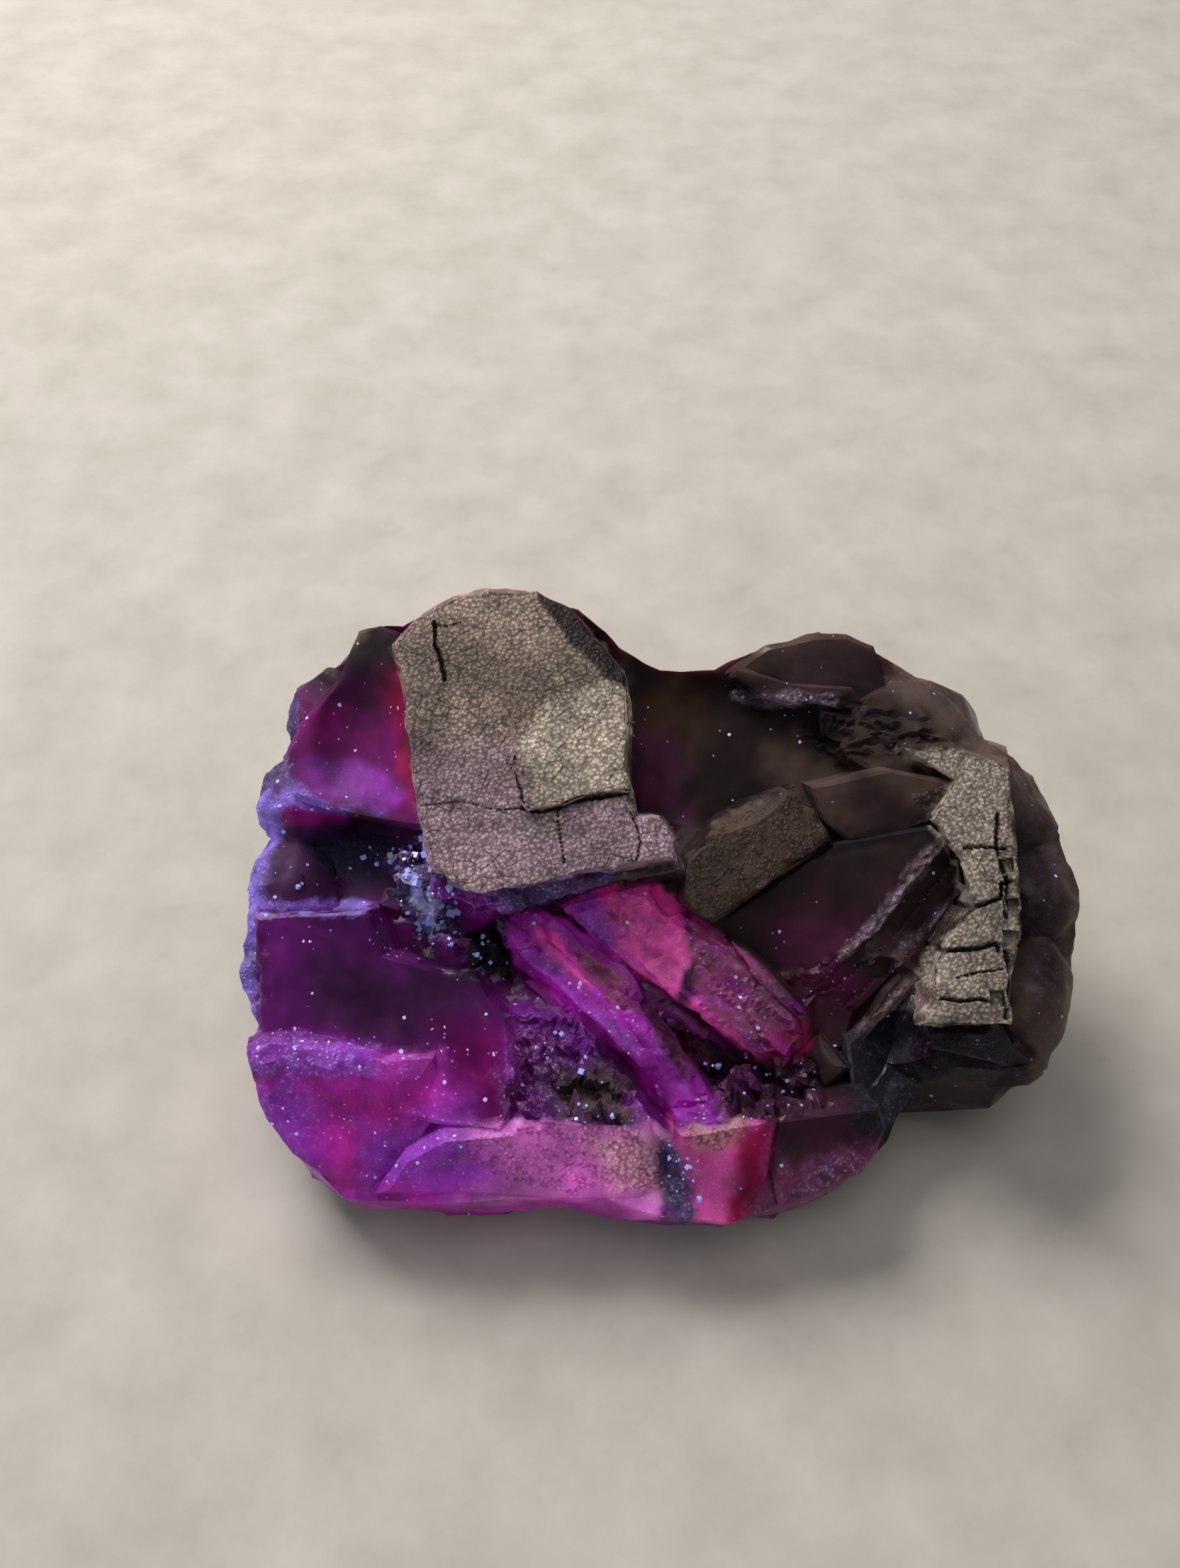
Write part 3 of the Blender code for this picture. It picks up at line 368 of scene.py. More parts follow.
# Open cracks in the crust, as lines on the growth plane, with a width and a depth
CRACKS = [
    ([(-20.7, 26.4), (-20.6, 24.4), (-19.9, 22.6), (-19.6, 21.0)], 0.2, 0.5),
    ([(-20.7, 26.2), (-19.6, 26.0), (-18.4, 26.3)], 0.1, 0.2),
    ([(-12.4, 9.6), (-10.8, 9.3), (-9.4, 9.7)], 0.16, 0.4),
    ([(-9.4, 9.7), (-7.2, 10.5), (-5.4, 10.6), (-3.0, 11.1)], 0.26, 0.7),
    ([(-12.4, 9.6), (-12.6, 11.2), (-13.4, 13.0), (-13.2, 14.2)], 0.1, 0.25),
    ([(-9.4, 9.4), (-9.2, 7.4), (-8.8, 5.0)], 0.1, 0.2),
    ([(-3.0, 9.2), (-2.2, 6.8), (-2.6, 5.0)], 0.1, 0.2),
    ([(-21.6, 9.8), (-17.6, 10.2), (-14.8, 9.4), (-12.4, 9.6)], 0.08, 0.12),
    ([(25.6, 1.2), (27.2, 1.4), (28.6, 2.0), (28.8, 3.2), (29.6, 3.4)], 0.2, 0.5),
    ([(25.8, 6.2), (27.4, 6.3), (29.4, 6.1)], 0.14, 0.4),
    ([(24.2, -4.6), (26.0, -4.2), (28.2, -3.9)], 0.1, 0.3),
    ([(23.2, -2.4), (24.8, -2.3), (26.4, -2.2), (27.8, -1.8), (28.0, -2.4)], 0.24, 0.5),
    ([(22.8, -6.2), (24.4, -6.5), (26.0, -6.3), (27.2, -6.6)], 0.16, 0.4),
    ([(29.0, 9.0), (28.6, 6.2), (29.3, 3.4), (28.9, 0.4)], 0.24, 0.4),
    ([(28.6, -2.0), (28.9, -4.4), (28.2, -7.8)], 0.3, 0.5),
]

# The cracks wander sideways by up to about this, in millimetres
CRACK_WANDER = 0.12

# Tiny cubes: how strongly small ones prevail, how far one may lean, the share of its edge by which
# its middle stands out of the wall, and the height above the growth plane they are dropped from
DRUSE_SEED = 21
DRUSE_SKEW = 2.4
DRUSE_LEAN = 0.9
DRUSE_STANDS = 0.15
DRUSE_DROP = 40.0
# Where they line a hollow: outline, how many, their edge length in millimetres, and the share
# that catches the light, painted in a pale lit colour
DRUSE_FIELDS = [
    ([(-25.5, 5), (-22, 7.4), (-18.6, 3), (-18.4, -2.6), (-22, -2.6), (-24, 0.5)], 170,
     (0.14, 0.6), 0.5),
    ([(-36, 7.5), (-25, 7.5), (-25, 1.2), (-36, 1.2)], 14, (0.2, 0.5), 0.7),
    ([(-13.2, -8), (-8.5, -8.4), (-3.4, -13.6), (-2, -16.8), (-13.2, -16.4)], 60, (0.14, 0.5),
     0.25),
    ([(3.5, -12.6), (13, -12.2), (14, -16), (4.5, -16.4)], 50, (0.14, 0.45), 0.3),
    ([(-0.8, -18.2), (1.6, -19.4), (3.1, -24.0), (1.0, -24.4), (-1.0, -21.6)], 26, (0.14, 0.4),
     0.3),
    ([(-18, -1.8), (-14, 0.5), (-13.6, -6), (-16, -4.8)], 24, (0.14, 0.4), 0.4),
    ([(17, -9), (20, -6.4), (24, -3), (25, -5), (19, -12.5), (16.5, -11.5)], 10, (0.2, 0.4), 0.5),
]
LIT_FACE = "#a4a8f2"

# Material: what the bloom of fine crystals adds to the colour below it, and the colours of the
# glow, of the painted glints of single faces, of the crust's hairlines and of the painted shade
# in its open cracks
FLUORITE_IOR = 1.434
BLOOM_ADDS = (0.22, 0.17, 0.34)
GLOW_COLOUR = "#ff58c8"
FINE_GLINT = "#b48ae0"
GLINT = "#c3bffa"
HAIRLINE = "#30241e"
CRACK_SHADOW = "#0d0808"

# Studio, in metres: half the table's width, and where the lamps aim
TABLE_HALF = 1.5
STONE_MIDDLE = (0, 0, 0.015)


def growth_frame():
    """The growth plane's frame in the row's millimetres: u, v and w as columns."""
    lean = math.radians(PLANE_LEAN_DEG)
    along_v = Vector((0, math.sin(lean), math.cos(lean)))
    along_w = Vector((0, -math.cos(lean), math.sin(lean)))
    turned = Matrix((Vector((1, 0, 0)), along_v, along_w)).transposed().to_4x4()
    return Matrix.Translation(PLANE_ZERO) @ turned


def linear(hex_colour):
    """An sRGB hex value as linear red, green and blue."""
    parts = [int(hex_colour[i:i + 2], 16) / 255 for i in (1, 3, 5)]
    return [c / 12.92 if c <= 0.04045 else ((c + 0.055) / 1.055) ** 2.4 for c in parts]


def smooth(value, low, high):
    """0 below low, 1 above high, smooth in between."""
    t = np.clip((value - low) / (high - low), 0, 1)
    return t * t * (3 - 2 * t)


def distance_to_line(u, v, line):
    """How far each point lies from a line of straight pieces."""
    nearest = np.full(len(u), 1e9)
    for (au, av), (bu, bv) in zip(line, line[1:]):
        eu, ev = bu - au, bv - av
        share = np.clip(((u - au) * eu + (v - av) * ev) / (eu * eu + ev * ev), 0, 1)
        nearest = np.minimum(nearest, np.hypot(u - au - share * eu, v - av - share * ev))
    return nearest


def depth_inside(u, v, outline):
    """How far each point lies inside an outline, negative outside it."""
    closed = outline + outline[:1]
    inside = np.zeros(len(u), bool)
    for (au, av), (bu, bv) in zip(closed, closed[1:]):
        if av != bv:
            crosses = (av > v) != (bv > v)
            inside ^= crosses & (u < (v - av) / (bv - av) * (bu - au) + au)
    nearest = distance_to_line(u, v, closed)
    return np.where(inside, nearest, -nearest)


def lumps(points, size, octaves=3):
    """Smooth noise from -1 to 1, with lumps of the given size in millimetres."""
    return np.array([
        noise.fractal(Vector(p), 1.0, 2.0, octaves, noise_basis="PERLIN_ORIGINAL")
        for p in (points / size)
    ])


def facets(points, size, tilt):
    """Broken facets: each cell of the given size leans its own way, by up to the given slope."""
    heights = np.empty(len(points))
    for i, p in enumerate(points / size):
        place = Vector(p)
        seed = noise.voronoi(place, distance_metric="DISTANCE")[1][0]
        lean = Vector((
            noise.cell(seed * 7.3), noise.cell(seed * 5.1 + Vector((9, 0, 0))),
            noise.cell(seed * 6.7 + Vector((0, 9, 0))),
        )) * 2 - Vector((1, 1, 1))
        heights[i] = lean.dot(place - seed) * tilt * size
    return heights


def wanted_sizes(middles, lowest):
    """The mesh size that each edge should have, from its middle and its lowest end."""
    u, v, w = ((middles - np.array(PLANE_ZERO)) @ np.array(growth_frame().to_3x3())).T
    size = np.full(len(u), FRONT_EDGE)
    for (u_low, u_high), (v_low, v_high), level, pivot, slope in FINE_AREAS:
        within = (u > u_low) & (u < u_high) & (v > v_low) & (v < v_high)
        size[within & (w > level + slope * (v - pivot))] = CRUST_EDGE
    crusted = size == CRUST_EDGE
    for line, _, _ in CRACKS:
        size[crusted & (distance_to_line(u, v, line) < CRACK_MARGIN)] = CRACK_EDGE
    size[(w < -BACK_SLOPE * v - BACK_REACH) | (lowest < FOOT_HEIGHT)] = BACK_EDGE
    return size


def along_and_across(on_plane, way):
    """Coordinates along a direction on the growth plane, and across it."""
    u, v, _ = on_plane.T
    return u * way[0] + v * way[1], v * way[0] - u * way[1]


def stretched(on_plane, way, length, width):
    """Noise drawn out along a direction on the growth plane."""
    along, across = along_and_across(on_plane, way)
    return lumps(np.c_[along / length, across / width, on_plane[:, 2] / width], 1.0, 3)


def partings(on_plane):
    """0 in the glassy bands of the strata, 1 in the partings between them."""
    return smooth(stretched(on_plane, STRATA_WAY, 5.0, 0.6), -0.1, 0.25)


def filled(colour, count):
    """This many tints, all of one colour of the palette."""
    return np.tile(linear(PALETTE[colour]), (count, 1))


def blend(tints, colour, share):
    """Moves the tints towards a colour of the palette, each by its share."""
    tints += (np.array(linear(PALETTE[colour])) - tints) * share[:, None]


def refined_solid():
    """The solid's copy in millimetres, cut into small even triangles."""
    bm = bmesh.new()
    bm.from_mesh(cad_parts["fluorite_specimen"].data)
    bmesh.ops.remove_doubles(bm, verts=bm.verts, dist=1e-6)
    bmesh.ops.scale(bm, vec=(1 / MM, 1 / MM, 1 / MM), verts=bm.verts)
    bmesh.ops.dissolve_limit(
        bm, angle_limit=math.radians(0.4), verts=bm.verts, edges=bm.edges, delimit=set()
    )
    bmesh.ops.triangulate(bm, faces=bm.faces, quad_method="BEAUTY", ngon_method="BEAUTY")
    for coarse in CUT_PASSES:
        ends = np.array([[vert.co[:] for vert in edge.verts] for edge in bm.edges])
        lengths = np.linalg.norm(ends[:, 0] - ends[:, 1], axis=1)
        wanted = wanted_sizes(ends.mean(axis=1), ends[:, :, 2].min(axis=1))
        long_edges = [edge for edge, cut in zip(bm.edges, lengths > coarse * wanted) if cut]
        bmesh.ops.subdivide_edges(bm, edges=long_edges, cuts=1)
        crowded = [face for face in bm.faces if len(face.verts) > 3]
        bmesh.ops.triangulate(bm, faces=crowded, quad_method="SHORT_EDGE", ngon_method="BEAUTY")
    return bm


def soften(bm):
    """Rounds the curved breaks and flanks."""
    for outline, turned, passes in CURVED:
        _, _, on_plane, facing = surface_of(bm)
        inside = depth_inside(on_plane[:, 0], on_plane[:, 1], outline) > 0
        chosen = [vert for vert, pick in zip(bm.verts, inside & (facing[:, 2] > turned)) if pick]
        for _ in range(passes):
            bmesh.ops.smooth_vert(
                bm, verts=chosen, factor=0.5, use_axis_x=True, use_axis_y=True, use_axis_z=True
            )


def surface_of(bm, unit=1.0):
    """Arrays of the mesh: points, normals, both also in the growth plane's frame."""
    bm.normal_update()
    turn = np.array(growth_frame().to_3x3())
    points = np.array([vert.co[:] for vert in bm.verts]) / unit
    normals = np.array([vert.normal[:] for vert in bm.verts])
    on_plane = (points - np.array(PLANE_ZERO)) @ turn
    facing = normals @ turn
    return points, normals, on_plane, facing


def crust_strength(on_plane, facing):
    """How strong the crust is at every point."""
    u, v, w = on_plane.T
    crust = np.zeros(len(u))
    for outline, pivot, level, slope, reach, strength in CRUSTS:
        plane = level + slope[0] * (u - pivot[0]) + slope[1] * (v - pivot[1])
        level_with = smooth(reach - np.abs(w - plane), 0, 0.35)
        up = (facing @ np.array([-slope[0], -slope[1], 1])) / math.hypot(*slope, 1)
        here = smooth(depth_inside(u, v, outline), -0.35, 0.15) * level_with * smooth(up, 0.5, 0.8)
        crust = np.maximum(crust, here * strength)
    return crust * (1 - smooth(depth_inside(u, v, SILL), -0.3, 0.3))


def zone_colours(points, on_plane, facing):
    """Tint, frost and glow of every point."""
    u, v, w = on_plane.T
    ragged = 0.4 * lumps(points, 1.5, 2)
    wander = lumps(points, 5.0, 3)
    behind = -w - BACK_SLOPE * v
    sideways = smooth(-facing[:, 2], -0.25, 0.35) * smooth(behind, -1, 3)
    tint = filled("smoke", len(u))
    frost = np.zeros(len(u))
    glow = np.zeros(len(u))
    on_block = smooth(depth_inside(u, v, TALL_BLOCK), -0.2, 0.2)
    everywhere = np.ones(len(u))
    layers = [(zone, everywhere) for zone in ZONES] + [(zone, on_block) for zone in STAINS_AND_SHEEN]
    for zone, within in layers + [(zone, everywhere) for zone in SILL_FROST]:
        outline, colour, softness, zone_frost, zone_glow = zone
        depth = depth_inside(u, v, outline) + ragged + min(softness, 3) * 0.5 * wander
        share = smooth(depth, -softness / 2, softness / 2) * within
        blend(tint, colour, share)
        frost += (zone_frost - frost) * share
        glow += (zone_glow - glow) * share
    # sides that face away: blue violet at the left that is painted light, as from a lamp low at the
    # left;
    # magenta with painted glow in front; smoky and dusky behind
    front = smooth(-v, 8, 18) * smooth(-u, -14, -4)
    blue_lit_left = smooth(-u, 22, 35) * (1 - smooth(behind, 3, 14))
    side = filled("smoke_brown", len(u))
    for colour, share in (
        ("dusk_violet", 0.65 * smooth(-u + 5 * wander, -6, 36)), ("plum", front),
        ("blue_violet", blue_lit_left),
    ):
        blend(side, colour, share)
    tint += (side - tint) * sideways[:, None]
    frost += (0.1 + 0.4 * blue_lit_left - frost) * sideways
    glow += (0.35 * front + 0.2 * blue_lit_left - glow) * sideways
    # violet and dark streaks along the ridge and the slab of the middle
    ridges = smooth(depth_inside(u, v, RIDGES), 0.2, 1.0) * (1 - sideways)
    streak = ridges * stretched(on_plane, RIDGE_WAY, 7.0, 0.9)
    for colour, share in (("magenta", streak - 0.1), ("near_black", -0.14 - streak)):
        blend(tint, colour, np.clip(1.8 * share, 0, 0.5))
    # strata of the upper right: dark partings between glassy brown bands
    banded = smooth(depth_inside(u, v, STRATA), 0, 2) * (1 - sideways)
    blend(tint, "near_black", banded * (0.45 + 0.45 * partings(on_plane)))
    # clouds 6 mm across and veils 1.3 mm across
    cloud = 1 + 0.55 * lumps(points, 6.0, 3)
    veil = 1 + 0.3 * lumps(points, 1.3, 2)
    tint *= np.clip(cloud * veil, 0.35, 1.9)[:, None]
    return tint, frost, glow * np.clip(cloud, 0.3, 1.6)


def glint_speckling(points, frost, glow, crust):
    """How many painted glints of single crystal faces there are at every point: more where it is
    frosted or glows.
    """
    cluster = 0.5 + 0.9 * lumps(points, 4.0, 2)
    return np.clip((0.03 + 0.45 * glow + 0.35 * frost) * cluster, 0, 0.5) * (1 - crust)


def dullness(points, on_plane, facing, frost, crust):
    """Roughness of the surface at every point."""
    u, v, _ = on_plane.T
    sideways = smooth(-facing[:, 2], -0.35, 0.2)
    dull = 0.2 + 0.06 * lumps(points, 3.0, 2) + 0.35 * sideways
    for outline, rough in DULL:
        dull += (rough - dull) * smooth(depth_inside(u, v, outline), -0.5, 0.8)
    dull += (0.55 - dull) * np.clip(frost, 0, 1) * 0.6
    return dull + (0.5 - dull) * smooth(crust, 0.2, 0.6)


def relief(points, on_plane, facing, crust, bend):
    """How far each point moves along its normal, in millimetres."""
    u, v, w = on_plane.T
    weathered = smooth(-facing[:, 2], -0.3, 0.3)
    right_flank = smooth(u, 29, 32) * (1 - crust)
    back = np.clip(weathered + 0.6 * right_flank, 0, 1)
    height = back * 0.55 * lumps(points, 4.2, 4)
    fresh = (1 - back) * (1 - crust)
    height += fresh * (0.16 * lumps(points, 4.5, 2) + 0.03 * lumps(points, 1.4, 2))
    # granular crust, crumbling towards its edges
    height += crust * (0.06 * lumps(points, 0.9, 2) + 0.12 * lumps(points, 3.2, 2))
    for outline in (TALL_BLOCK, RIGHT_BLOCK, SMALL_BLOCK):
        rim = 1 - smooth(np.abs(depth_inside(u, v, outline)), 0.2, 1.0)
        height += rim * smooth(facing[:, 2], 0.0, 0.6) * (0.28 * lumps(points, 1.3, 3) - 0.08)
    # strips along the ridge and the slab of the middle
    ridges = smooth(depth_inside(u, v, RIDGES), 0, 0.8) * fresh
    height += ridges * 0.5 * stretched(on_plane, RIDGE_WAY, 8.0, 2.0)
    along, across = along_and_across(on_plane, RIDGE_WAY)
    strips = facets(np.c_[along / 3.2, across, w], 1.7, 0.16)
    height += ridges * (0.07 * lumps(points, 1.1, 3) + strips)
    # steps that break the right-hand slabs down, parallel to their edge
    slabs = smooth(depth_inside(u, v, SLABS), 0, 1) * fresh
    to_edge = distance_to_line(u, v, SLAB_EDGE) * np.where(
        depth_inside(u, v, BELOW_SLAB_EDGE) > 0, 1, -1
    )
    to_edge += 0.25 * lumps(points, 2.4, 3)
    height += slabs * smooth(to_edge, -0.1, 0.1) * 0.75 * (0.5 - (to_edge / 1.9) % 1.0)
    height += slabs * (1 - smooth(np.abs(to_edge), 0.3, 0.9)) * 0.3 * lumps(points, 0.9, 2)
    # the strata of the upper right part in gaps
    strata = smooth(depth_inside(u, v, STRATA), 0, 1.5) * fresh
    height -= strata * 0.32 * partings(on_plane)
    # rubble on the floors of the hollows
    for outline in RUBBLE:
        floor = smooth(depth_inside(u, v, outline), -0.3, 0.9) * (1 - crust)
        height += floor * (0.9 * lumps(points, 3.2, 2) + facets(points, 2.2, 0.26))
    # faint ripples of the curved break beside the tall block
    hollow = smooth(depth_inside(u, v, CURVED_BREAK), 0, 1.5)
    ring = np.hypot(u - RIPPLE_MIDDLE[0], v - RIPPLE_MIDDLE[1]) + 0.6 * lumps(points, 6.0, 2)
    height += hollow * 0.02 * np.sin(ring * 1.6)
    # fine steps on the front left face
    face = smooth(depth_inside(u, v, FRONT_FACE), 0, 1)
    terrace = (v + 0.35 * u + 1.6 * lumps(points, 7.0, 2)) / 3.4
    height += face * fresh * 0.10 * smooth(np.abs(terrace % 2 - 1), 0.42, 0.5)
    # lumps of the frosted band above the cheek
    band = smooth(depth_inside(u, v, FROSTED_BAND), -0.3, 0.6) * fresh
    height += band * 0.35 * lumps(points, 1.5, 3)
    # lumpy, frosted left edge and sill
    left_edge = smooth(-u, 33, 35.5)
    sill = smooth(depth_inside(u, v, LUMPY_SILL), 0, 1)
    height += np.maximum(left_edge, 1.4 * sill * (1 - crust)) * 0.4 * lumps(points, 1.6, 3)
    for line, width, depth in CRACKS:
        near = distance_to_line(u + bend, v, line)
        height -= crust * depth * (1 - smooth(near, width * 0.35, width))
    # the foot stays flat on the table
    height *= smooth(points[:, 2], 0.05, 0.9)
    return height


def crack_shade(on_plane, crust, bend):
    """How dark the painted shade of the open cracks makes every point."""
    u, v, _ = on_plane.T
    shade = np.zeros(len(u))
    for line, width, _ in CRACKS:
        near = distance_to_line(u + bend, v, line)
        shade = np.maximum(shade, 1 - smooth(near, width * 0.5, width * 1.15))
    return shade * crust


def linked(bm, name):
    """The finished mesh as an object of the scene."""
    mesh = bpy.data.meshes.new(name)
    bm.to_mesh(mesh)
    bm.free()
    piece = bpy.data.objects.new(name, mesh)
    bpy.context.scene.collection.objects.link(piece)
    return piece


def keep_tint(mesh, tint):
    """Stores a colour at every vertex."""
    layer = mesh.attributes.new("tint", "FLOAT_COLOR", "POINT")
    layer.data.foreach_set("color", np.c_[tint, np.ones(len(tint))].astype(np.float32).ravel())


def stone():
    """The dressed stone, with its zones kept as attributes of the mesh."""
    bm = refined_solid()
    soften(bm)
    points, normals, on_plane, facing = surface_of(bm)
    crust = crust_strength(on_plane, facing)
    tint, frost, glow = zone_colours(points, on_plane, facing)
    bend = CRACK_WANDER * lumps(points, 0.9, 2)
    crack = crack_shade(on_plane, crust, bend)
    moved = points + normals * relief(points, on_plane, facing, crust, bend)[:, None]
    moved[:, 2] = np.maximum(moved[:, 2], 0.0)
    for vert, place in zip(bm.verts, moved):
        vert.co = place
    bmesh.ops.scale(bm, vec=(MM, MM, MM), verts=bm.verts)
    bm.normal_update()
    sharp = math.radians(SMOOTH_BELOW_DEG)
    for edge in bm.edges:
        edge.smooth = len(edge.link_faces) == 2 and edge.calc_face_angle(0) < sharp
    for face in bm.faces:
        face.smooth = True
    piece = linked(bm, "cleaved_fluorite")
    keep_tint(piece.data, tint)
    dull = dullness(points, on_plane, facing, frost, crust)
    glint_specks = glint_speckling(points, frost, glow, crust)
    for name, values in (
        ("crust", crust), ("frost", frost), ("glow", glow), ("crack", crack), ("dull", dull),
        ("glint_specks", glint_specks),
    ):
        layer = piece.data.attributes.new(name, "FLOAT", "POINT")
        layer.data.foreach_set("value", values.astype(np.float32))
    return piece


def druse(body):
    """Tiny cubes that stand on the walls of the hollows, from one seeded draw."""
    draw = random.Random(DRUSE_SEED)
    tree = BVHTree.FromObject(body, bpy.context.evaluated_depsgraph_get())
    grown = growth_frame()
    outwards = (grown.to_3x3() @ Vector((0, 0, 1))).normalized()
    bm = bmesh.new()
    lit = []
    for outline, count, edges, lit_share in DRUSE_FIELDS:
        us, vs = zip(*outline)
        placed = 0
        while placed < count:
            u, v = draw.uniform(min(us), max(us)), draw.uniform(min(vs), max(vs))
            edge = edges[0] + (edges[1] - edges[0]) * draw.random() ** DRUSE_SKEW
            turn = [draw.uniform(-1, 1) for _ in range(3)]
            catches_light = draw.random() < lit_share
            if depth_inside(np.array([u]), np.array([v]), outline)[0] < 0:
                continue
            placed += 1
            start = grown @ Vector((u, v, DRUSE_DROP)) * MM
            hit, normal, _, _ = tree.ray_cast(start, -outwards)
            if hit is None or hit.z < 0.5 * MM:
                continue
            stands = normal.to_track_quat("Z", "X").to_matrix().to_4x4()
            lean = (Matrix.Rotation(turn[0] * DRUSE_LEAN, 4, "X")
                    @ Matrix.Rotation(turn[1] * DRUSE_LEAN, 4, "Y"))
            spin = Matrix.Rotation(turn[2] * math.pi, 4, "Z")
            middle = Matrix.Translation(hit + normal * edge * DRUSE_STANDS * MM)
            place = middle @ stands @ lean @ spin
            corners = bmesh.ops.create_cube(bm, size=edge * MM, matrix=place)["verts"]
            lit += [catches_light] * len(corners)
    points, _, on_plane, facing = surface_of(bm, MM)
    tint, _, _ = zone_colours(points, on_plane, np.abs(facing))
    # painted highlight: the cubes that catch the light get the pale lit colour
    tint[np.array(lit)] = linear(LIT_FACE)
    piece = linked(bm, "hollow_druse")
    keep_tint(piece.data, tint)
    return piece


def add(tree, kind, settings=None, links=None):
    """Adds a node with its settings, and links given sockets or values into its inputs."""
    node = tree.nodes.new(kind)
    for name, value in (settings or {}).items():
        setattr(node, name, value)
    for socket, source in (links or {}).items():
        if isinstance(source, bpy.types.NodeSocket):
            tree.links.new(source, node.inputs[socket])
        else:
            node.inputs[socket].default_value = source
    return node


def per_mm(size):
    """The scale of a pattern on Object coordinates, in metres, for features of this many mm."""
    return 1000.0 / size


def colour4(hex_colour):
    """The colour as a socket takes it."""
    return linear(hex_colour) + [1.0]


def new_material(name):
    """A material with its tree and shader."""
    material = bpy.data.materials.new(name)
    material.use_nodes = True
    tree = material.node_tree
    shader = tree.nodes["Principled BSDF"]
    return material, tree, shader


def cleaved_fluorite():
    """Fluorite, broken along its cleavage: glassy and translucent, so it is glossy and lets
    light in a little way; frosted where fine crystals cover it; and where it is crusted, a
    granular, crackled skin that glints from its grains. Painted into it are glints of single
    faces, a glow of its own, and shade in the crust's open cracks."""
    material, tree, shader = new_material("cleaved_fluorite")
    place = add(tree, "ShaderNodeTexCoord").outputs["Object"]
    reads = {"place": place}
    for name, output in (
        ("tint", "Color"), ("crust", "Fac"), ("frost", "Fac"), ("glow", "Fac"), ("crack", "Fac"),
        ("dull", "Fac"), ("glint_specks", "Fac"),
    ):
        reads[name] = add(tree, "ShaderNodeAttribute", {"attribute_name": name}).outputs[output]

    # noises: size in millimetres and detail
    for name, size, detail in (
        ("grain", 0.3, 2.0), ("patch", 0.8, 3.0), ("plates", 3.2, 2.0),
    ):
        reads[name] = add(tree, "ShaderNodeTexNoise", links={
            "Vector": place, "Scale": per_mm(size), "Detail": detail, "Roughness": 0.6,
        }).outputs["Fac"]
    # cells: hairline cracks of the crust 1.4 mm apart, crystals 0.35 mm across that make the
    # frost and the grains of the crust, and single faces with a painted glint, one in some cells of
    # 0.8 mm
    for feature, size, outputs in (
        ("DISTANCE_TO_EDGE", 1.4, {"crackle": "Distance"}),
        ("F1", 0.35, {"crystals": "Distance", "crystal_pick": "Color"}),
        ("F1", 0.8, {"face": "Distance", "face_pick": "Color"}),
    ):
        cells = add(tree, "ShaderNodeTexVoronoi", {"feature": feature}, {
            "Vector": place, "Scale": per_mm(size),
        })
        for name, output in outputs.items():
            reads[name] = cells.outputs[output]

    # masks and tones: source, the range it reads, and what it gives at each end
    for name, source, low, high, first, last in (
        ("grain_noise", "grain", 0.32, 0.68, 0.8, 1.2),
        ("grain_gap", "crystals", 0.15, 0.8, 1.26, 0.46),
        ("grain_shade", "crystal_pick", 0.2, 0.8, 0.84, 1.2),
        ("cracked", "plates", 0.42, 0.60, 0.05, 0.85),
        ("patches", "patch", 0.40, 0.60, 0.0, 1.0),
        ("crystal_tone", "crystals", 0.10, 0.60, 1.0, 0.2),
        ("hairline", "crackle", 0.005, 0.065, 1.0, 0.0),
        ("face_size", "patch", 0.35, 0.65, 0.5, 1.7),
        ("ragged", "patch", 0.3, 0.7, -0.22, 0.22),
    ):
        reads[name] = add(tree, "ShaderNodeMapRange", {"interpolation_type": "SMOOTHSTEP"}, {
            "Value": reads[source], "From Min": low, "From Max": high, "To Min": first,
            "To Max": last,
        }).outputs["Result"]

    # what they make together
    for name, operation, first, second in (
        ("grain_tone", "MULTIPLY", "grain_noise", "grain_gap"),
        ("grain_tone", "MULTIPLY", "grain_tone", "grain_shade"),
        ("bloom", "MULTIPLY", "frost", "patches"),
        ("frosting", "MULTIPLY", "bloom", "crystal_tone"),
        ("point", "DIVIDE", "face", "face_size"),
        ("point", "LESS_THAN", "point", 0.15),
        ("picked", "ADD", "face_pick", "glint_specks"),
        ("picked", "GREATER_THAN", "picked", 0.92),
        ("glints", "MULTIPLY", "point", "picked"),
        ("fine_point", "LESS_THAN", "crystals", 0.3),
        ("fine_pick", "MULTIPLY", "glint_specks", 0.4),
        ("fine_pick", "ADD", "crystal_pick", "fine_pick"),
        ("fine_pick", "GREATER_THAN", "fine_pick", 0.92),
        ("fine_glints", "MULTIPLY", "fine_point", "fine_pick"),
        ("fine_glints", "MULTIPLY", "fine_glints", 0.5),
        ("lines", "MULTIPLY", "hairline", "cracked"),
        ("soft_lines", "MULTIPLY", "lines", 0.6),
        ("crusted", "ADD", "crust", "ragged"),
        ("crusted", "SUBTRACT", "crusted", 0.3),
        ("crusted", "MULTIPLY", "crusted", 4.0),
        ("grain_relief", "SUBTRACT", "grain_tone", "lines"),
        ("grain_relief", "MULTIPLY", "grain_relief", 0.00008),
        ("frost_relief", "MULTIPLY", "frosting", 0.00010),
        ("fresh_relief", "MULTIPLY", "grain", 0.00002),
        ("fresh_relief", "ADD", "fresh_relief", "frost_relief"),
        ("glow_strength", "MULTIPLY", "glow", 0.55),
    ):
        reads[name] = add(tree, "ShaderNodeMath", {
            "operation": operation, "use_clamp": name == "crusted" and operation == "MULTIPLY",
        }, {0: reads[first], 1: reads.get(second, second)}).outputs[0]

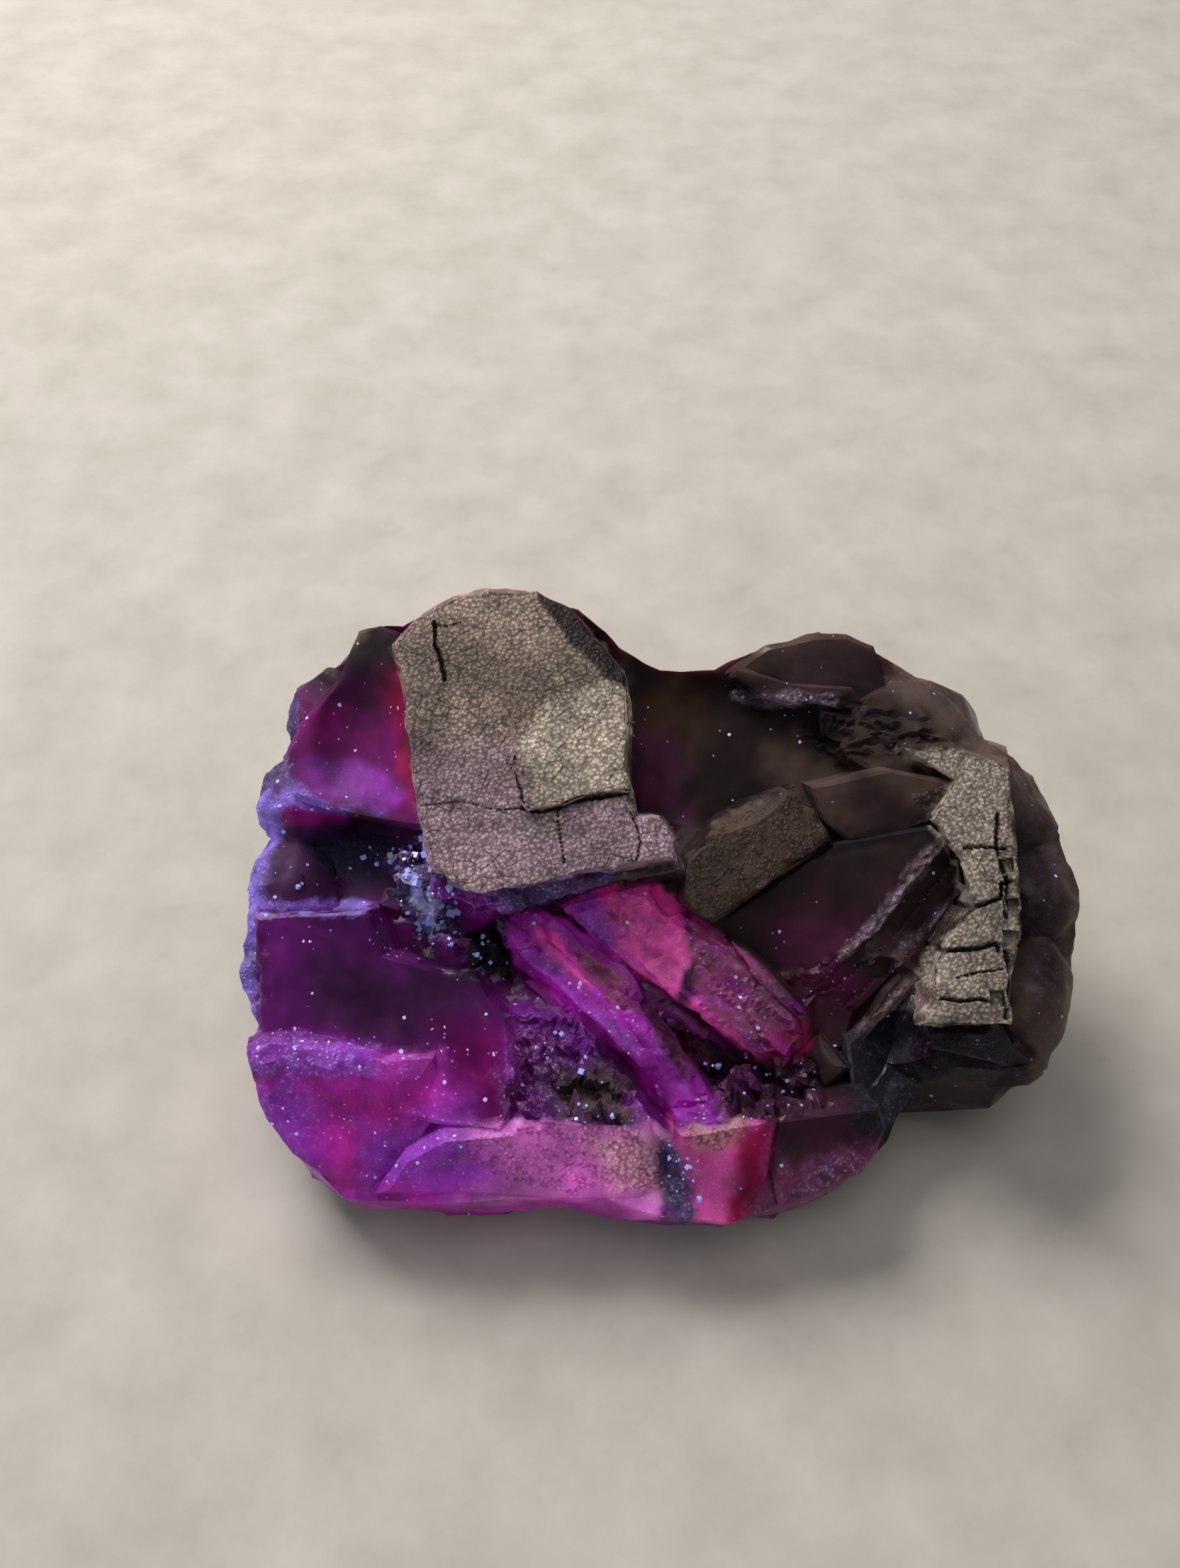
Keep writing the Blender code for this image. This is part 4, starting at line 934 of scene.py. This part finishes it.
    # the bloom is paler than the stone below it
    for name, operation, first, second in (
        ("bloom_colour", "ADD", "tint", BLOOM_ADDS),
        ("glow_colour", "MULTIPLY", "tint", linear(GLOW_COLOUR)),
    ):
        reads[name] = add(tree, "ShaderNodeVectorMath", {"operation": operation}, {
            0: reads[first], 1: second,
        }).outputs["Vector"]
    reads["crust_colour"] = add(tree, "ShaderNodeVectorMath", {"operation": "SCALE"}, {
        0: reads["tint"], "Scale": reads["grain_tone"],
    }).outputs["Vector"]

    # layers from the stone outwards: how much, what is below, what is above
    for name, share, below, above in (
        ("stone", "frosting", "tint", "bloom_colour"),
        # painted glints of single faces, fine and coarse
        ("stone", "fine_glints", "stone", FINE_GLINT),
        ("stone", "glints", "stone", GLINT),
        ("crust_colour", "soft_lines", "crust_colour", HAIRLINE),
        ("stone", "crusted", "stone", "crust_colour"),
        # painted shade in the crust's open cracks
        ("stone", "crack", "stone", CRACK_SHADOW),
    ):
        reads[name] = add(tree, "ShaderNodeMix", {"data_type": "RGBA"}, {
            0: reads[share], 6: reads[below],
            7: reads[above] if above in reads else colour4(above),
        }).outputs[2]
    height = add(tree, "ShaderNodeMix", {"data_type": "FLOAT"}, {
        0: reads["crusted"], 2: reads["fresh_relief"], 3: reads["grain_relief"],
    }).outputs[0]
    bump = add(tree, "ShaderNodeBump", links={"Strength": 1.0, "Distance": 1.0, "Height": height})
    for socket, source in (
        ("Base Color", reads["stone"]), ("Roughness", reads["dull"]),
        ("Normal", bump.outputs["Normal"]), ("Emission Color", reads["glow_colour"]),
        ("Emission Strength", reads["glow_strength"]),
    ):
        tree.links.new(source, shader.inputs[socket])
    shader.inputs["IOR"].default_value = FLUORITE_IOR
    shader.inputs["Specular IOR Level"].default_value = 0.2
    shader.inputs["Subsurface Weight"].default_value = 0.2
    shader.inputs["Subsurface Radius"].default_value = (1.0, 0.25, 0.6)
    shader.inputs["Subsurface Scale"].default_value = 0.0016
    return material


def druse_fluorite():
    """Fluorite again, as clean little cubes: glassy faces that catch the light as points."""
    material, tree, shader = new_material("druse_fluorite")
    tint = add(tree, "ShaderNodeAttribute", {"attribute_name": "tint"}).outputs["Color"]
    for socket in ("Base Color", "Emission Color"):
        tree.links.new(tint, shader.inputs[socket])
    # painted glow: the cubes give off a faint light in their own tint
    shader.inputs["Emission Strength"].default_value = 0.12
    shader.inputs["Roughness"].default_value = 0.1
    shader.inputs["IOR"].default_value = FLUORITE_IOR
    shader.inputs["Specular IOR Level"].default_value = 0.6
    shader.inputs["Coat Weight"].default_value = 0.6
    shader.inputs["Coat Roughness"].default_value = 0.05
    return material


def pale_table():
    """A pale matt table top, faintly mottled."""
    material, tree, shader = new_material("pale_table")
    place = add(tree, "ShaderNodeTexCoord").outputs["Object"]
    mottle = add(tree, "ShaderNodeTexNoise", links={
        "Vector": place, "Scale": per_mm(9.0), "Detail": 6.0, "Roughness": 0.6,
    }).outputs["Fac"]
    shade = add(tree, "ShaderNodeMix", {"data_type": "RGBA"}, {
        0: mottle, 6: colour4("#9a9389"), 7: colour4("#c3bcb4"),
    }).outputs[2]
    tree.links.new(shade, shader.inputs["Base Color"])
    shader.inputs["Roughness"].default_value = 0.9
    return material


def table_top():
    bm = bmesh.new()
    bmesh.ops.create_grid(bm, x_segments=1, y_segments=1, size=TABLE_HALF)
    top = linked(bm, "table_top")
    top.data.materials.append(pale_table())


def area_light(name, place, size, power, colour):
    """A soft lamp, placed in metres and aimed at the stone."""
    data = bpy.data.lights.new(name, "AREA")
    data.size = size
    data.energy = power
    data.color = colour
    lamp = bpy.data.objects.new(name, data)
    lamp.location = place
    aim = Vector(STONE_MIDDLE) - Vector(place)
    lamp.rotation_euler = aim.to_track_quat("-Z", "Y").to_euler()
    bpy.context.scene.collection.objects.link(lamp)


def studio():
    """Pale table, soft window light from behind the left, and faint fills."""
    table_top()
    world = bpy.data.worlds.new("studio")
    world.use_nodes = True
    backdrop = world.node_tree.nodes["Background"]
    backdrop.inputs["Color"].default_value = (0.95, 0.97, 1.0, 1.0)
    backdrop.inputs["Strength"].default_value = 0.22
    bpy.context.scene.world = world
    area_light("window", (-0.22, 0.30, 0.42), 0.34, 4.0, (1.0, 0.98, 0.95))
    area_light("overhead", (0.10, -0.05, 0.55), 0.30, 0.5, (1.0, 0.97, 0.94))
    area_light("left_fill", (-0.40, -0.25, 0.16), 0.18, 0.5, (0.86, 0.84, 1.0))


def camera():
    """A camera square to the growth plane."""
    data = bpy.data.cameras.new("camera")
    data.lens = CAMERA_LENS
    data.sensor_width = 36.0
    data.sensor_fit = "AUTO"
    data.clip_start = 0.005
    view = bpy.data.objects.new("camera", data)
    grown = growth_frame()
    place = grown @ Vector((*CAMERA_MIDDLE, CAMERA_DISTANCE)) * MM
    view.matrix_world = Matrix.Translation(place) @ grown.to_3x3().to_4x4()
    bpy.context.scene.collection.objects.link(view)
    bpy.context.scene.camera = view


def dress(piece, material):
    """Gives a piece its material and its place in the part."""
    piece.data.materials.clear()
    piece.data.materials.append(material)
    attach(piece, "root")


camera()
studio()
body = stone()
cubes = druse(body)
dress(body, cleaved_fluorite())
dress(cubes, druse_fluorite())
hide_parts("fluorite_specimen")
bpy.context.scene.view_settings.view_transform = "Standard"
